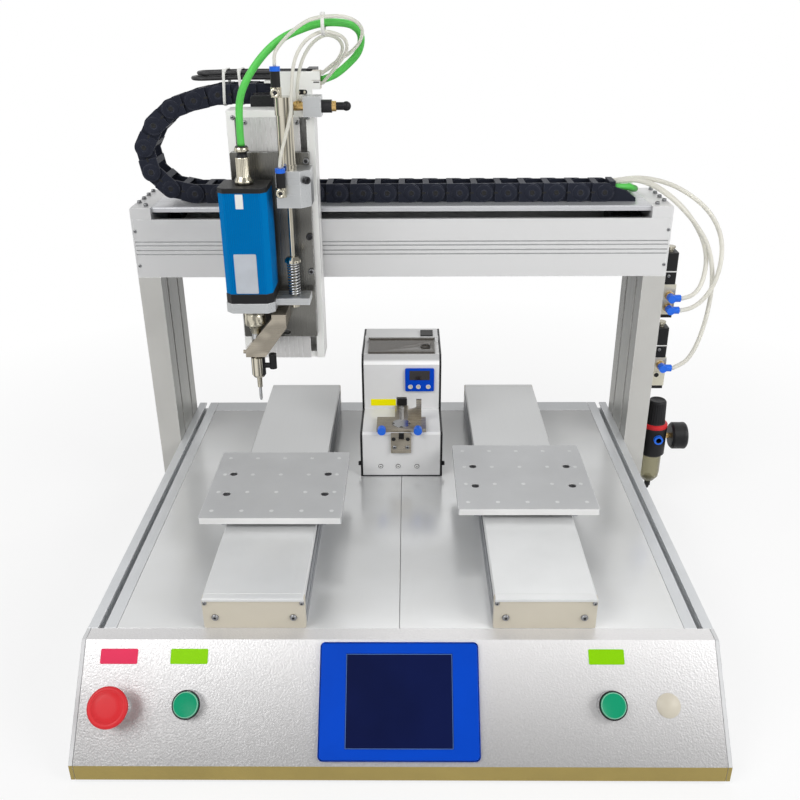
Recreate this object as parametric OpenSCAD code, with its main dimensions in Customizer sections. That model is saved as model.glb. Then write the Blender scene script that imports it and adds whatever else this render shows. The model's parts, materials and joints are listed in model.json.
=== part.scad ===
// Bench-top automatic screw locking machine: a console base with two sliding tables, a gantry
// that carries a screwdriver head, a cable chain, a screw feeder and a pneumatic set.
// Frame: origin on the bench under the middle of the base, +X right, +Y to the rear, +Z up.

/* [Base] */
// Width of the base
base_w = 650; // [620:5:720]
// Depth of the base, from the console lip to the rear rail
base_d = 650; // [640:5:720]
// Height of the deck above the bench
deck_z = 110; // [100:1:125]
// Height of the rubber feet
foot_h = 4; // [3:0.5:8]
// Diameter of the rubber feet
foot_d = 36; // [24:1:50]
// Distance between the bench bolts, both ways
bolt_pitch = 560; // [500:5:580]
// Diameter of the bench bolt holes
bolt_d = 6.6; // [5.5:0.1:9]
// Thickness of the console and tray sheet
sheet_t = 2.5; // [1.5:0.5:4]
// Thickness of the side cheeks
cheek_t = 4; // [3:0.5:6]
// Height of the console's front lip
lip_h = 18.5; // [12:0.5:25]
// Depth of the console's slope
console_run = 82.5; // [75:0.5:90]
// Width of the flange between slope and deck
flange_w = 17.5; // [12:0.5:25]
// Width of the side rails
rail_w = 30; // [24:1:40]
// Height of the side rails
rail_h = 40; // [30:1:50]
// Width of the slots in rails and columns
slot_w = 6; // [5:0.5:8]
// Thickness of the deck plates
deck_t = 4; // [3:0.5:6]

/* [Control panel] */
// Width of the touch panel's bezel
hmi_w = 160; // [140:1:180]
// Height of the touch panel's bezel
hmi_h = 113; // [100:1:115]
// How far the bezel stands proud of the console
hmi_proud = 6; // [4:0.5:9]
// Width of the screen
screen_w = 107; // [90:1:120]
// Height of the screen
screen_h = 90; // [75:1:95]
// Place of the start buttons in from the base's edges
button_in = 114; // [100:1:130]
// Diameter of the start buttons' bezels
button_d = 29.5; // [28.5:0.5:32]
// Height of the start buttons' bezels
bezel_h = 10; // [7:0.5:12]
// Place of the emergency stop in from the left edge
estop_in = 41; // [30:1:45]
// Height of the emergency stop up the slope
estop_s = 54.5; // [45:0.5:62]
// Diameter of the emergency stop's head
estop_d = 40; // [34:1:44]
// Place of the blank plug in from the right edge
plug_in = 57; // [35:1:65]
// Height of the controls up the slope
control_s = 57; // [45:1:62]
// Panel holes for the controls
panel_hole_d = 22.3; // [16.2:0.1:22.5]
// Travel of the emergency stop
estop_travel = 5; // [3:0.5:7]
// Travel of the start buttons
button_travel = 3; // [2:0.5:4]

/* [Tables] */
// Distance between the two table axes
y_pitch = 300; // [290:1:330]
// Width of the axis modules
mod_w = 106; // [100:1:112]
// Height of the table modules above the deck
mod_h = 38; // [36:1:44]
// Thickness of the module covers
cover_t = 5; // [3:0.5:6]
// Thickness of the module end plates
end_t = 8; // [6:1:12]
// Length of the table carriages
carriage_l = 110; // [90:5:130]
// Width of the tooling plates
plate_w = 165; // [150:1:175]
// Length of the tooling plates
plate_l = 158; // [150:1:180]
// Thickness of the tooling plates
plate_t = 8; // [6:1:12]
// Gap between module cover and tooling plate
plate_gap = 6; // [4:0.5:9]
// Distance between the tapped holes across the plate
grid_x = 35; // [30:1:36]
// Distance between the tapped holes along the plate
grid_y = 42; // [35:1:44]
// Diameter of the tapped holes
tap_d = 4.2; // [3.3:0.1:5]
// Place of the left table from the middle of the base
left_y = -17.5; // [-60:0.5:60]
// Place of the right table from the middle of the base
right_y = 1.5; // [-60:0.5:60]

/* [Gantry] */
// Width of the gantry columns
col_w = 30.5; // [26:0.5:40]
// Depth of the gantry columns
col_d = 111.5; // [100:0.5:119]
// Height of the beam's underside
beam_z = 359; // [340:1:380]
// Height of the beam's front wall
beam_h = 78.5; // [74:0.5:90]
// Depth of the beam
beam_d = 119; // [112:0.5:125]
// Wall of the beam
beam_wall = 6; // [5:0.5:8]
// Gap from the beam's rear to the base's rear
gantry_inset = 12.5; // [5:0.5:25]
// Height of the front slot that the carriage runs in
beam_slot = 8; // [7:0.5:12]
// Thickness of the beam's cover
beam_cover_t = 7; // [5:0.5:9]
// Length of the beam's end blocks
end_block = 27.5; // [20:0.5:35]
// Thickness of the caps on the beam's ends
end_cap = 2.5; // [2:0.5:5]

/* [Head] */
// Place of the lifting module from the middle of the machine
head_x = -156; // [-200:1:-100]
// Height of the cable tray above the lifting module
tray_rise = 23.5; // [22:0.5:30]
// Length of the lifting module
z_len = 319; // [312:1:330]
// Depth of the lifting module
z_depth = 36.5; // [35:0.5:42]
// Width of the head plate
head_plate_w = 96; // [90:1:100]
// Thickness of the head plate
head_plate_t = 10; // [8:0.5:12]
// Height of the head plate's lower edge
head_plate_z = 296; // [290:1:305]
// Length of the head plate
head_plate_l = 237; // [230:1:242]
// Width of the screwdriver body
driver_w = 58; // [52:0.5:58]
// Depth of the screwdriver body
driver_d = 52; // [48:0.5:56]
// Length of the blue screwdriver body
driver_l = 122; // [110:1:125]
// Place of the bit left of the lifting module's middle
bit_dx = -28; // [-30:0.5:-26]
// Height of the bit's tip
bit_z = 222; // [215:1:235]
// Diameter of the bit
bit_d = 4; // [3:0.5:5]
// Place of the air cylinder right of the lifting module's middle
cyl_dx = 23; // [21:0.5:25]
// Diameter of the air cylinder
cyl_d = 20; // [18:0.5:21]
// Diameter of the piston rod
rod_d = 6; // [5:0.5:7]
// Travel of the screwdriver on its own slide
driver_travel = 40; // [30:1:42]

/* [Cable chain] */
// Distance between the chain's pivots
chain_pitch = 32; // [30:0.5:32]
// Height of the chain's links
chain_h = 24.5; // [22:0.5:26]
// Width of the chain
chain_w = 38; // [34:0.5:44]
// Links in the chain's upper run
upper_links = 1; // [1:1:2]

/* [Feeder] */
// Width of the screw feeder
feeder_w = 110; // [100:1:116]
// Depth of the screw feeder
feeder_d = 183; // [175:1:190]
// Height of the screw feeder
feeder_h = 145; // [138:1:146]
// Height of the feeder's front step
step_h = 66; // [60:1:72]
// Depth of the feeder's front step
step_d = 74; // [68:1:80]
// Thickness of the feeder's side panels
side_t = 3; // [2:0.5:5]
// Width of the hopper lid
lid_w = 92; // [70:1:92]
// Length of the hopper lid
lid_l = 48; // [44:1:60]

/* [Pneumatics] */
// Thickness of the valves, out from the column
valve_t = 21; // [18:0.5:24]
// Width of the valves
valve_w = 26; // [20:1:30]
// Diameter of the pressure regulator
reg_d = 37; // [32:0.5:40]
// Height of the regulator's body
reg_h = 45; // [40:1:50]
// Diameter of the pressure gauge
gauge_d = 40; // [34:1:44]
// Diameter of the air hoses
hose_d = 6; // [4:0.5:6]
// Diameter of the head's air tubes
tube_d = 4; // [3:0.5:4]
// Diameter of the screwdriver's green cable
green_d = 8.5; // [6:0.5:8.5]
// Diameter of the folded black cables
lead_d = 5; // [4:0.5:5]

/* [Hidden] */
$fn = 48;

// Clearances: a running fit, a guided part beside its guide, a part moving past another
fit = 0.05;
guide = 0.3;
pass = 1;

// Base
front_y = -base_d / 2;
rear_y = base_d / 2;
tray_z = foot_h;
lip_z = tray_z + lip_h;
slope_y = front_y + console_run;
deck_y = slope_y + flange_w;
slope_a = atan2(deck_z - lip_z, console_run);
slope_l = norm([console_run, deck_z - lip_z]);
rail_x = base_w / 2 - rail_w;
rail_z = deck_z - rail_h;
ledge = 12;
under_deck = deck_z - deck_t;
seam = 0.6;
inlet_x = -base_w / 2 + 85;
inlet_z = rail_z / 2 + 2;
inlet_w = 48;
inlet_h = 28;
// Control panel
estop_x = base_w / 2 - estop_in;
button_x = base_w / 2 - button_in;
plug_x = base_w / 2 - plug_in;
// Tables
mod_top = deck_z + mod_h;
mod_floor = deck_z + 6;
mod_wall = 8;
wing_t = 5;
cover_z = mod_top - cover_t;
wing_z = cover_z - pass - wing_t;
wall_z = wing_z - pass;
mod_y0 = deck_y;
mod_y1 = rear_y - 16;
plate_z = mod_top + plate_gap;
lin_w = 15;
lin_h = 12;
rail_top = mod_floor + lin_h;
riser_x = mod_w / 2 + 2;
riser_t = 7;
belt_x = 25;
belt_r = 8;
belt_t = 1.5;
belt_w = 10;
belt_up = 3;
pulley_inset = 62;
// Gantry
beam_y1 = rear_y - gantry_inset;
beam_y0 = beam_y1 - beam_d;
beam_l = base_w + 2 * col_w;
beam_top = beam_z + beam_h;
beam_web = beam_z + 33;
beam_rim = beam_top + beam_slot;
beam_cover = beam_rim + beam_cover_t;
col_x = base_w / 2;
x_rail_y = beam_y0 + 39;
x_belt_y = beam_y0 + 80;
x_belt_z = beam_web + 29;
x_motor = 42;
x_motor_x = beam_l / 2 - end_block - x_motor / 2 - 4;
// Head
hook_t = 9;
hook_gap = 1.5;
hook_down = 58;
hook_up = 48.5;
hook_y0 = beam_y0 - hook_gap - hook_t;
z_y1 = hook_y0;
z_y0 = z_y1 - z_depth;
z_wall = 10;
z_cover_w = mod_w - 2 * z_wall - 16;
z_cover_t = 3;
z_cap_h = 8;
z_web = 8;
z_rail_h = 10;
z_motor_w = 57;
z_motor_up = 13;
arm_t = 6;
plate_y1 = z_y0 - 2;
plate_y0 = plate_y1 - head_plate_t;
plate_x0 = head_x - head_plate_w / 2 - 2;
plate_x1 = plate_x0 + head_plate_w;
plate_top = head_plate_z + head_plate_l;
slide_h = 6;
back_t = 3;
driver_y1 = plate_y0 - slide_h - back_t - 3;
driver_y0 = driver_y1 - driver_d;
bit_x = head_x + bit_dx;
bit_y = driver_y1 - driver_d / 2;
brk_t = 12.5;
brk_z = head_plate_z + 54.5;
cap_low = 12;
cap_high = 6;
body_z = brk_z + brk_t + cap_low;
driver_top = body_z + driver_l + cap_high;
plug_h = 44;
control_h = 33;
cyl_x = head_x + cyl_dx;
cyl_y = plate_y0 - 28;
block_z = head_plate_z + 179;
block_h = 43;
cyl_z0 = block_z + block_h;
cyl_z1 = cyl_z0 + 82;
arm_x0 = bit_x + driver_w / 2 + 1;
arm_x1 = cyl_x + 20;
arm_h = 8.5;
nozzle_z = bit_z + 35;
clip_z = nozzle_z + 28;
// Chain: the heading of each link in the bend, then where the chain starts and ends
chain_bend = [168, 137, 100, 60, 40, 18, 12, 2];
chain_y = beam_y0 + 28.7 + chain_w / 2;
chain_z = beam_cover + guide + chain_h / 2;
bend_x = head_x - 118;
lower_links = floor((base_w / 2 - 50 - bend_x) / chain_pitch);
chain_links = lower_links + len(chain_bend) + upper_links;
chain_end_x = bend_x + lower_links * chain_pitch;
fitting_l = 42;
comb_x = 14;
function heading(i) =
    i < lower_links ? 180 : i < lower_links + len(chain_bend) ? chain_bend[i - lower_links] : 0;
function pivot(i) =
    i == 0 ? [chain_end_x, chain_z]
    : pivot(i - 1) + chain_pitch * [cos(heading(i - 1)), sin(heading(i - 1))];
moving_end = pivot(chain_links);
tray_floor = moving_end.y + chain_h / 2 + guide;
tray_t = 3;
z_top = tray_floor - tray_rise;
z_low = z_top - z_len;
clamp_x0 = head_x + 52;
clamp_x1 = head_x + 62;
plug_x0 = head_x + 38;
// Feeder
feeder_y0 = bit_y - 7;
feeder_y1 = feeder_y0 + feeder_d;
feeder_top = deck_z + feeder_h;
step_z = deck_z + step_h;
face_y = feeder_y0 + step_d;
lid_y0 = face_y + 10;
hinge_y = lid_y0 + lid_l + 3;
disc_r = 12;
disc_y = bit_y + disc_r - 1;
// Pneumatics
col_out = base_w / 2 + col_w;
valve_y = beam_y0 + 15;
valve1_z = beam_z - 65;
valve2_z = beam_z - 173;
reg_x = col_out + 3 + reg_d / 2;
reg_y = beam_y0 + 33;
reg_z = 72;
port_x = col_out + 13;
port_tip = port_x + 12;
port_y = valve_y - 11;
valve1_ports = [15, 32];
valve2_port = 37;

// Routes of the cords between their fittings, in machine millimetres at the stated sizes
green_route = [[-184, 96, 550], [-184, 96, 565], [-182, 97, 595], [-173, 99, 618], [-154, 102, 643],
    [-132, 106, 661], [-106, 111, 672], [-85, 116, 677], [-67, 123, 677], [-54, 133, 674], [-46, 144, 666],
    [-45, 154, 655], [-50, 162, 642], [-63, 165, 629], [-77, 163, 619], [-91, 158, 614]];
tube_routes = [
    [[-140, 99, 636], [-138, 98, 648], [-127, 97, 661], [-114, 97, 672], [-98, 99, 681], [-81, 102, 684],
     [-63, 107, 684], [-49, 115, 679], [-42, 125, 669], [-46, 134, 656], [-57, 141, 645], [-75, 147, 634],
     [-91, 150, 622]],
    [[-139, 85, 526], [-137, 85, 538], [-131, 87, 558], [-124, 90, 582], [-122, 93, 606], [-119, 96, 631],
     [-113, 99, 648], [-102, 102, 661], [-88, 107, 668], [-74, 114, 667], [-63, 122, 661], [-60, 130, 651],
     [-66, 138, 639], [-79, 144, 624], [-91, 150, 611]],
    [[-120, 134, 595], [-120, 134, 605], [-116, 133, 627], [-108, 132, 645], [-97, 134, 658], [-84, 140, 664],
     [-72, 148, 660], [-67, 156, 651], [-71, 163, 640], [-80, 166, 630], [-91, 165, 623]]];
cable_routes = [
    [[-121, 226.2, 610], [-136, 226.2, 610], [-170, 226.2, 610], [-210, 226.2, 610], [-238, 226.2, 609.3],
     [-250, 226.2, 609], [-257.5, 228.2, 609], [-263, 233.7, 609], [-265, 241.2, 609], [-263, 248.7, 609],
     [-257.5, 254.2, 609], [-250, 256.2, 609], [-238, 256.2, 609.3], [-210, 256.2, 610], [-170, 256.2, 610],
     [-136, 256.2, 610], [-121, 256.2, 610]],
    [[-121, 227.2, 616], [-136, 227.2, 616], [-170, 227.2, 616], [-205, 227.2, 616], [-232, 227.2, 615.3],
     [-243, 227.2, 615], [-250, 229.1, 615], [-255.1, 234.2, 615], [-257, 241.2, 615], [-255.1, 248.2, 615],
     [-250, 253.3, 615], [-243, 255.2, 615], [-232, 255.2, 615.3], [-205, 255.2, 616], [-170, 255.2, 616],
     [-136, 255.2, 616], [-121, 255.2, 616]]];
hose_routes = [
    [[287, 251, 475], [301, 251, 477], [316, 250.5, 478.5], [334, 248, 477.5], [355, 244, 473],
     [377, 240, 464], [403, 234, 447], [421, 227, 427], [431, 219, 404], [432.5, 210.5, 380],
     [428.5, 204, 357], [420.5, 200, 337], [409, 198.2, 321], [396, 197.6, 312], [383.5, 197.5, 309]],
    [[287, 244.8, 475], [301, 244.5, 476.5], [316, 243, 477], [333, 240, 473.5], [352, 236, 463.5],
     [370, 232, 450], [387, 228.5, 433], [402, 225, 412], [411, 221.5, 393], [414.5, 217, 375],
     [413, 211, 357], [407, 204, 341], [397, 199, 330.5], [383.5, 197.5, 326]],
    [[287, 238.6, 475.5], [301, 237.8, 477.5], [316, 236, 477.5], [333, 231.5, 472.5], [352, 226, 462],
     [372, 221, 446], [393, 216, 424], [411, 213, 398], [421.5, 212, 369], [425.5, 211, 339],
     [424.5, 208.5, 309], [420, 205, 281], [412, 201, 254], [400.5, 198.5, 234], [383.5, 197.5, 223]]];
stub_route = [[287, 232.5, 470], [296.2, 234.1, 469.9], [305.4, 238.8, 468.6], [312.7, 246.1, 466],
    [317.4, 255.3, 463.2], [319, 265.5, 460.8], [319, 275, 459], [319, 284, 458.5], [319, 293, 458.5]];
// Where each cord starts and ends: a face and the way out of it
out_up = [0, 0, 3];
out_right = [3, 0, 0];
out_left = [-3, 0, 0];
green_ends = [[bit_x, bit_y, driver_top + plug_h], [clamp_x1, z_y0 + 11.5, tray_floor + 10.2]];
tube_ends = [
    [[cyl_x - 7, cyl_y - 7, cyl_z1 + control_h], [clamp_x1, z_y0 + 3.5, tray_floor + 18]],
    [[cyl_x - 6, cyl_y - 21, block_z + 15 + control_h], [clamp_x1, z_y0 + 3.5, tray_floor + 7]],
    [[head_x + 36, z_y0 - 12, z_top + 12], [clamp_x1, z_y0 + 17.5, tray_floor + 18]]];
cable_ends = [for (c = [[15, 3.5], [14, 9.5]]) [for (s = [-1, 1])
    [plug_x0, chain_y + s * c[0], tray_floor + tray_t + c[1]]]];
hose_x = chain_end_x + comb_x;
hose_ends = [
    [[hose_x, chain_y + 9.8, chain_z + 10], [port_tip, port_y, valve1_z + valve1_ports[0]]],
    [[hose_x, chain_y + 3.6, chain_z + 10], [port_tip, port_y, valve1_z + valve1_ports[1]]],
    [[hose_x, chain_y - 2.6, chain_z + 10.5], [port_tip, port_y, valve2_z + valve2_port]]];
gland_x = chain_end_x + 49;
gland_y = beam_y1 - 16.5;
gland_d = green_d + 3.5;
stub_ends = [[hose_x, chain_y - 8.7, chain_z + 5], [gland_x, gland_y, beam_cover + gland_d / 2]];
out_front = [0, -3, 0];

// Bent sheet: a polyline thickened to its right by t, with mitred corners
function side(a, b) = let(d = (b - a) / norm(b - a)) [d.y, -d.x];
function mitre(p, i, t) =
    let(n = len(p) - 1,
        u = side(p[max(i - 1, 0)], p[max(i, 1)]),
        v = side(p[min(i, n - 1)], p[min(i + 1, n)]))
    p[i] + (u + v) * t / (1 + u * v);
function bent(p, t) =
    concat(p, [for (i = [len(p) - 1:-1:0]) mitre(p, i, t)]);

// Cord: a smooth curve through the route's points, swept as a tube from one fitting to the other
function curve(a, b, c, d, t) =
    0.5 * ((2 * b) + (c - a) * t + (2 * a - 5 * b + 4 * c - d) * t * t
    + (3 * b - a - 3 * c + d) * t * t * t);
function smooth(p, steps) =
    let(n = len(p) - 1)
    concat([for (i = [0:n - 1]) for (k = [0:steps - 1])
        curve(p[max(i - 1, 0)], p[i], p[i + 1], p[min(i + 2, n)], k / steps)], [p[n]]);
// The route with its two ends moved to a and b, and the points between carried along
function pinned(r, a, b) =
    let(n = len(r) - 1)
    [for (i = [0:n]) r[i] + (a - r[0]) * (1 - i / n) + (b - r[n]) * i / n];
function unit(v) = v / norm(v);
function way(p, i) = unit(p[min(i + 1, len(p) - 1)] - p[max(i - 1, 0)]);
// A direction square to the path, carried along it without twist
function carried(p, u, i = 0) =
    i == len(p) ? []
    : let(t = way(p, i), v = unit(u - (u * t) * t)) concat([v], carried(p, v, i + 1));
module cord(route, ends, a_out, b_out, d, steps = 2, sides = 10) {
    p = concat([ends[0]], smooth(pinned(route, ends[0] + a_out, ends[1] + b_out), steps), [ends[1]]);
    n = len(p);
    us = carried(p, [0.3, 1, 0.2]);
    points = [for (i = [0:n - 1]) let(v = cross(way(p, i), us[i])) for (k = [0:sides - 1])
        p[i] + d / 2 * (cos(360 * k / sides) * us[i] + sin(360 * k / sides) * v)];
    walls = [for (i = [0:n - 2]) for (k = [0:sides - 1])
        let(a = i * sides + k, b = i * sides + (k + 1) % sides) [a, a + sides, b + sides, b]];
    caps = [[for (k = [0:sides - 1]) k], [for (k = [sides - 1:-1:0]) (n - 1) * sides + k]];
    polyhedron(points, concat(walls, caps));
}

module box(a, b) { translate(a) cube(b - a); }
module rect(a, b) { translate(a) square(b - a); }
module along_x(x0, x1) { translate([x0, 0, 0]) rotate([90, 0, 90]) linear_extrude(x1 - x0) children(); }
module along_y(y0, y1) { translate([0, y1, 0]) rotate([90, 0, 0]) linear_extrude(y1 - y0) children(); }
module along_z(z0, z1) { translate([0, 0, z0]) linear_extrude(z1 - z0) children(); }
module rod_x(d, x0, x1, y, z) { translate([x0, y, z]) rotate([0, 90, 0]) cylinder(d = d, h = x1 - x0); }
module rod_y(d, y0, y1, x, z) { translate([x, y0, z]) rotate([-90, 0, 0]) cylinder(d = d, h = y1 - y0); }
module rod_z(d, z0, z1, x, y) { translate([x, y, z0]) cylinder(d = d, h = z1 - z0); }
module sides() { for (s = [-1, 1]) translate([s * y_pitch / 2, 0, 0]) children(); }
module rounded(w, h, r) {
    square([w - 2 * r, h], center = true);
    square([w, h - 2 * r], center = true);
    for (x = [-1, 1], y = [-1, 1]) translate([x * (w / 2 - r), y * (h / 2 - r)]) circle(r);
}
// Mouth and undercut of a slot, opening upwards at the origin
module tee() {
    translate([-slot_w / 2, -4]) square([slot_w, 5]);
    translate([-slot_w, -10]) square([2 * slot_w, 7]);
}
// A point on the console's slope: x across, s up the slope, z out of it
module on_slope(x, s) {
    translate([x, front_y, lip_z]) rotate([slope_a, 0, 0]) translate([0, s, 0]) children();
}

// Base
module base_tray() color("silver") {
    w = base_w / 2;
    floor_z = tray_z + sheet_t;
    difference() {
        union() {
            box([-w, front_y + sheet_t, tray_z], [w, rear_y, floor_z]);
            box([-w, rear_y - sheet_t, tray_z], [w, rear_y, rail_z]);
            for (s = [0, 1]) mirror([s, 0, 0]) along_x(w - cheek_t, w)
                polygon([[front_y, tray_z], [front_y, lip_z], [slope_y, deck_z], [deck_y, deck_z],
                    [deck_y, rail_z], [rear_y, rail_z], [rear_y, tray_z]]);
        }
        for (x = [-1, 1], y = [-1, 1])
            rod_z(bolt_d, tray_z - 1, floor_z + 1, x * bolt_pitch / 2, y * bolt_pitch / 2);
        box([inlet_x - inlet_w / 2, rear_y - sheet_t - 1, inlet_z - inlet_h / 2],
            [inlet_x + inlet_w / 2, rear_y + 1, inlet_z + inlet_h / 2]);
    }
}
module base_rails() color("gainsboro") {
    y0 = deck_y;
    y1 = rear_y - rail_w;
    inner = rail_x - ledge - guide;
    // side rails with a slot on top and a ledge for the deck
    for (s = [0, 1]) mirror([s, 0, 0]) {
        along_y(y0, rear_y) difference() {
            rect([rail_x, rail_z], [base_w / 2, deck_z]);
            translate([base_w / 2 - rail_w / 2 + 1, deck_z]) tee();
        }
        along_y(y0, y1 - guide) rect([rail_x - ledge, rail_z], [rail_x, under_deck]);
    }
    // cross rails between them, front and rear
    along_x(-inner, inner) rect([y0, rail_z], [y0 + rail_w, under_deck]);
    along_x(-inner, inner) rect([y1 - ledge, rail_z], [rear_y, under_deck]);
    along_x(-rail_x + guide, rail_x - guide) rect([y1, under_deck], [rear_y, deck_z]);
    // middle rail under the deck's seam
    along_y(y0 + rail_w + guide, y1 - ledge - guide) difference() {
        rect([-rail_w / 2, rail_z], [rail_w / 2, under_deck]);
        translate([0, under_deck]) tee();
    }
}
module deck_plates() color("lightgray") difference() {
    for (s = [0, 1]) mirror([s, 0, 0])
        box([seam / 2, deck_y, under_deck], [rail_x - guide, rear_y - rail_w - guide, deck_z]);
    sides() rod_z(4 * belt_r, under_deck - 1, deck_z + 1, belt_x, mod_y1 - pulley_inset);
}
module front_console() color("silver") difference() {
    w = base_w / 2 - cheek_t - guide;
    fold = [[front_y, tray_z], [front_y, lip_z], [slope_y, deck_z], [deck_y, deck_z]];
    along_x(-w, w) polygon(bent(fold, sheet_t));
    on_slope(0, slope_l / 2 + 1) translate([0, 0, -sheet_t - 2])
        linear_extrude(sheet_t + 4) rounded(hmi_w - 12, hmi_h - 12, 4);
    for (p = [[-estop_x, estop_s], [-button_x, control_s], [button_x, control_s], [plug_x, control_s]])
        on_slope(p.x, p.y) translate([0, 0, -sheet_t - 2]) cylinder(d = panel_hole_d, h = sheet_t + 4);
}
module rubber_feet() color("#202022") for (x = [-1, 1], y = [-1, 1])
    translate([x * bolt_pitch / 2, y * bolt_pitch / 2, 0]) rotate_extrude()
        polygon([[bolt_d / 2, 0], [foot_d / 2 - 1, 0], [foot_d / 2, foot_h], [bolt_d / 2, foot_h]]);

module control_electronics() color("#55595f") {
    z = tray_z + sheet_t;
    y = front_y + 2 * console_run;
    // power supply, motion controller and four motor drives
    supply_x = -base_w / 2 + 75;
    drive_x = base_w / 2 - 165;
    box([supply_x, y + 120, z], [supply_x + 115, y + 330, z + 38]);
    box([-70, y + 150, z], [110, y + 270, z + 25]);
    for (i = [0:3]) translate([drive_x + i * 28, y + 130, z]) cube([22, 120, 45]);
}
module power_inlet() color("#1c1c1e") difference() {
    union() {
        box([inlet_x - inlet_w / 2 + fit, rear_y - 22, inlet_z - inlet_h / 2 + fit],
            [inlet_x + inlet_w / 2 - fit, rear_y, inlet_z + inlet_h / 2 - fit]);
        along_y(rear_y, rear_y + 2.5) translate([inlet_x, inlet_z]) rounded(inlet_w + 14, inlet_h + 6, 3);
    }
    along_y(rear_y - 16, rear_y + 4) translate([inlet_x - 8, inlet_z]) rounded(24, 17, 2);
    for (x = [-1, 0, 1]) rod_y(2, rear_y - 17, rear_y, inlet_x - 8 + 6 * x, inlet_z);
}

// Control panel
module hmi_bezel() color("#1250b4") on_slope(0, slope_l / 2 + 1) difference() {
    union() {
        linear_extrude(hmi_proud - 2) rounded(hmi_w, hmi_h, 5);
        linear_extrude(hmi_proud) rounded(hmi_w - 3, hmi_h - 3, 4);
        translate([0, 0, -28]) linear_extrude(28) rounded(hmi_w - 14, hmi_h - 14, 3);
    }
    translate([0, 0, hmi_proud - 3]) linear_extrude(4) square([screen_w, screen_h], center = true);
}
module hmi_screen() color("#0a1440") on_slope(0, slope_l / 2 + 1) translate([0, 0, hmi_proud - 3])
    linear_extrude(2) square([screen_w - 2 * fit, screen_h - 2 * fit], center = true);
// Threaded barrel and contact block behind the panel, with a bezel ring in front
module panel_barrel(d, h, bore) difference() {
    union() {
        cylinder(d1 = d, d2 = d - 1, h = h);
        translate([0, 0, -34]) cylinder(d = panel_hole_d - 4 * fit, h = 34);
        translate([-14, -10, -34]) cube([28, 20, 18]);
    }
    translate([0, 0, -14]) cylinder(d = bore, h = h + 20);
}
module panel_fittings() color("#303338") {
    on_slope(-estop_x, estop_s) panel_barrel(31, collar_h, stem_d + 2 * fit);
    for (x = [-1, 1]) on_slope(x * button_x, control_s) difference() {
        panel_barrel(button_d, bezel_h, button_stem + 2 * guide);
        translate([0, 0, press_z - button_travel - pass]) cylinder(d = button_cap + 2 * guide, h = bezel_h);
    }
    on_slope(plug_x, control_s) {
        rotate_extrude() intersection() {
            translate([0, -18]) circle(22);
            square([12, 5]);
        }
        translate([0, 0, -8]) cylinder(d = panel_hole_d - 4 * fit, h = 8);
    }
}
stem_d = 16;
collar_h = 5;
button_stem = 18;
button_cap = button_d - 4.5;
press_z = bezel_h - 2;
module estop_button() color("#d0202a") on_slope(-estop_x, estop_s) {
    r = estop_d / 2;
    z = collar_h + estop_travel + pass;
    translate([0, 0, z]) rotate_extrude() polygon([[0, 0], [r - 7, 0], [r - 1.5, 9], [r, 12.5], [r, 14.5],
        [r - 1.5, 16], [r - 4.5, 16.6], [0, 17]]);
    translate([0, 0, -8]) cylinder(d = stem_d, h = z + 8);
}
module start_cap(x) on_slope(x, control_s) {
    top = bezel_h + button_travel;
    r = button_cap / 2;
    stem = button_stem / 2;
    rotate_extrude() polygon([[0, -8], [stem, -8], [stem, press_z], [r, press_z], [r, top - 1], [r - 1, top],
        [r - 3, top - 0.6], [0, top - 0.8]]);
}
module start_button_left() color("#1f9468") start_cap(-button_x);
module start_button_right() color("#1f9468") start_cap(button_x);

// Sliding tables
module y_housings() color("#b9bcc0") difference() {
    sides() along_y(mod_y0 + end_t, mod_y1 - end_t) difference() {
        rect([-mod_w / 2, deck_z], [mod_w / 2, wall_z]);
        rect([-mod_w / 2 + mod_wall, mod_floor], [mod_w / 2 - mod_wall, wall_z + 1]);
        for (s = [-1, 1]) translate([s * mod_w / 2, deck_z + 12]) square([3, 4], center = true);
    }
    sides() rod_z(4 * belt_r, deck_z - 1, mod_floor + 1, belt_x, mod_y1 - pulley_inset);
}
module axis_covers() color("#d6d8da") {
    bevel = 1.5;
    w = mod_w / 2;
    front = beam_y0 + 7;
    half = beam_l / 2 - end_block;
    sides() along_y(mod_y0 + end_t, mod_y1 - end_t)
        polygon([[-w, cover_z], [w, cover_z], [w, mod_top - bevel], [w - bevel, mod_top],
            [-w + bevel, mod_top], [-w, mod_top - bevel]]);
    along_x(-half, half)
        polygon([[front, beam_rim], [beam_y1, beam_rim], [beam_y1, beam_cover], [front + bevel, beam_cover],
            [front, beam_cover - bevel]]);
}
module y_end_plates() color("#e6e2d4") sides() for (y = [mod_y0, mod_y1 - end_t]) along_y(y, y + end_t)
    translate([0, deck_z + mod_h / 2]) rounded(mod_w, mod_h, 2);
// Section of a linear rail standing on the origin
module rail_section(h) {
    w = lin_w / 2;
    polygon([[-w, 0], [w, 0], [w, h * 0.45], [w - 2, h * 0.6], [w, h * 0.75], [w, h], [-w, h],
        [-w, h * 0.75], [-w + 2, h * 0.6], [-w, h * 0.45]]);
}
module guide_rails() color("#9a9ea3") {
    sides() along_y(mod_y0 + end_t, mod_y1 - end_t) translate([0, mod_floor]) rail_section(lin_h);
    along_x(-beam_l / 2 + end_block, x_motor_x - x_motor / 2 - 3)
        translate([x_rail_y, beam_web]) rail_section(lin_h);
}
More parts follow.
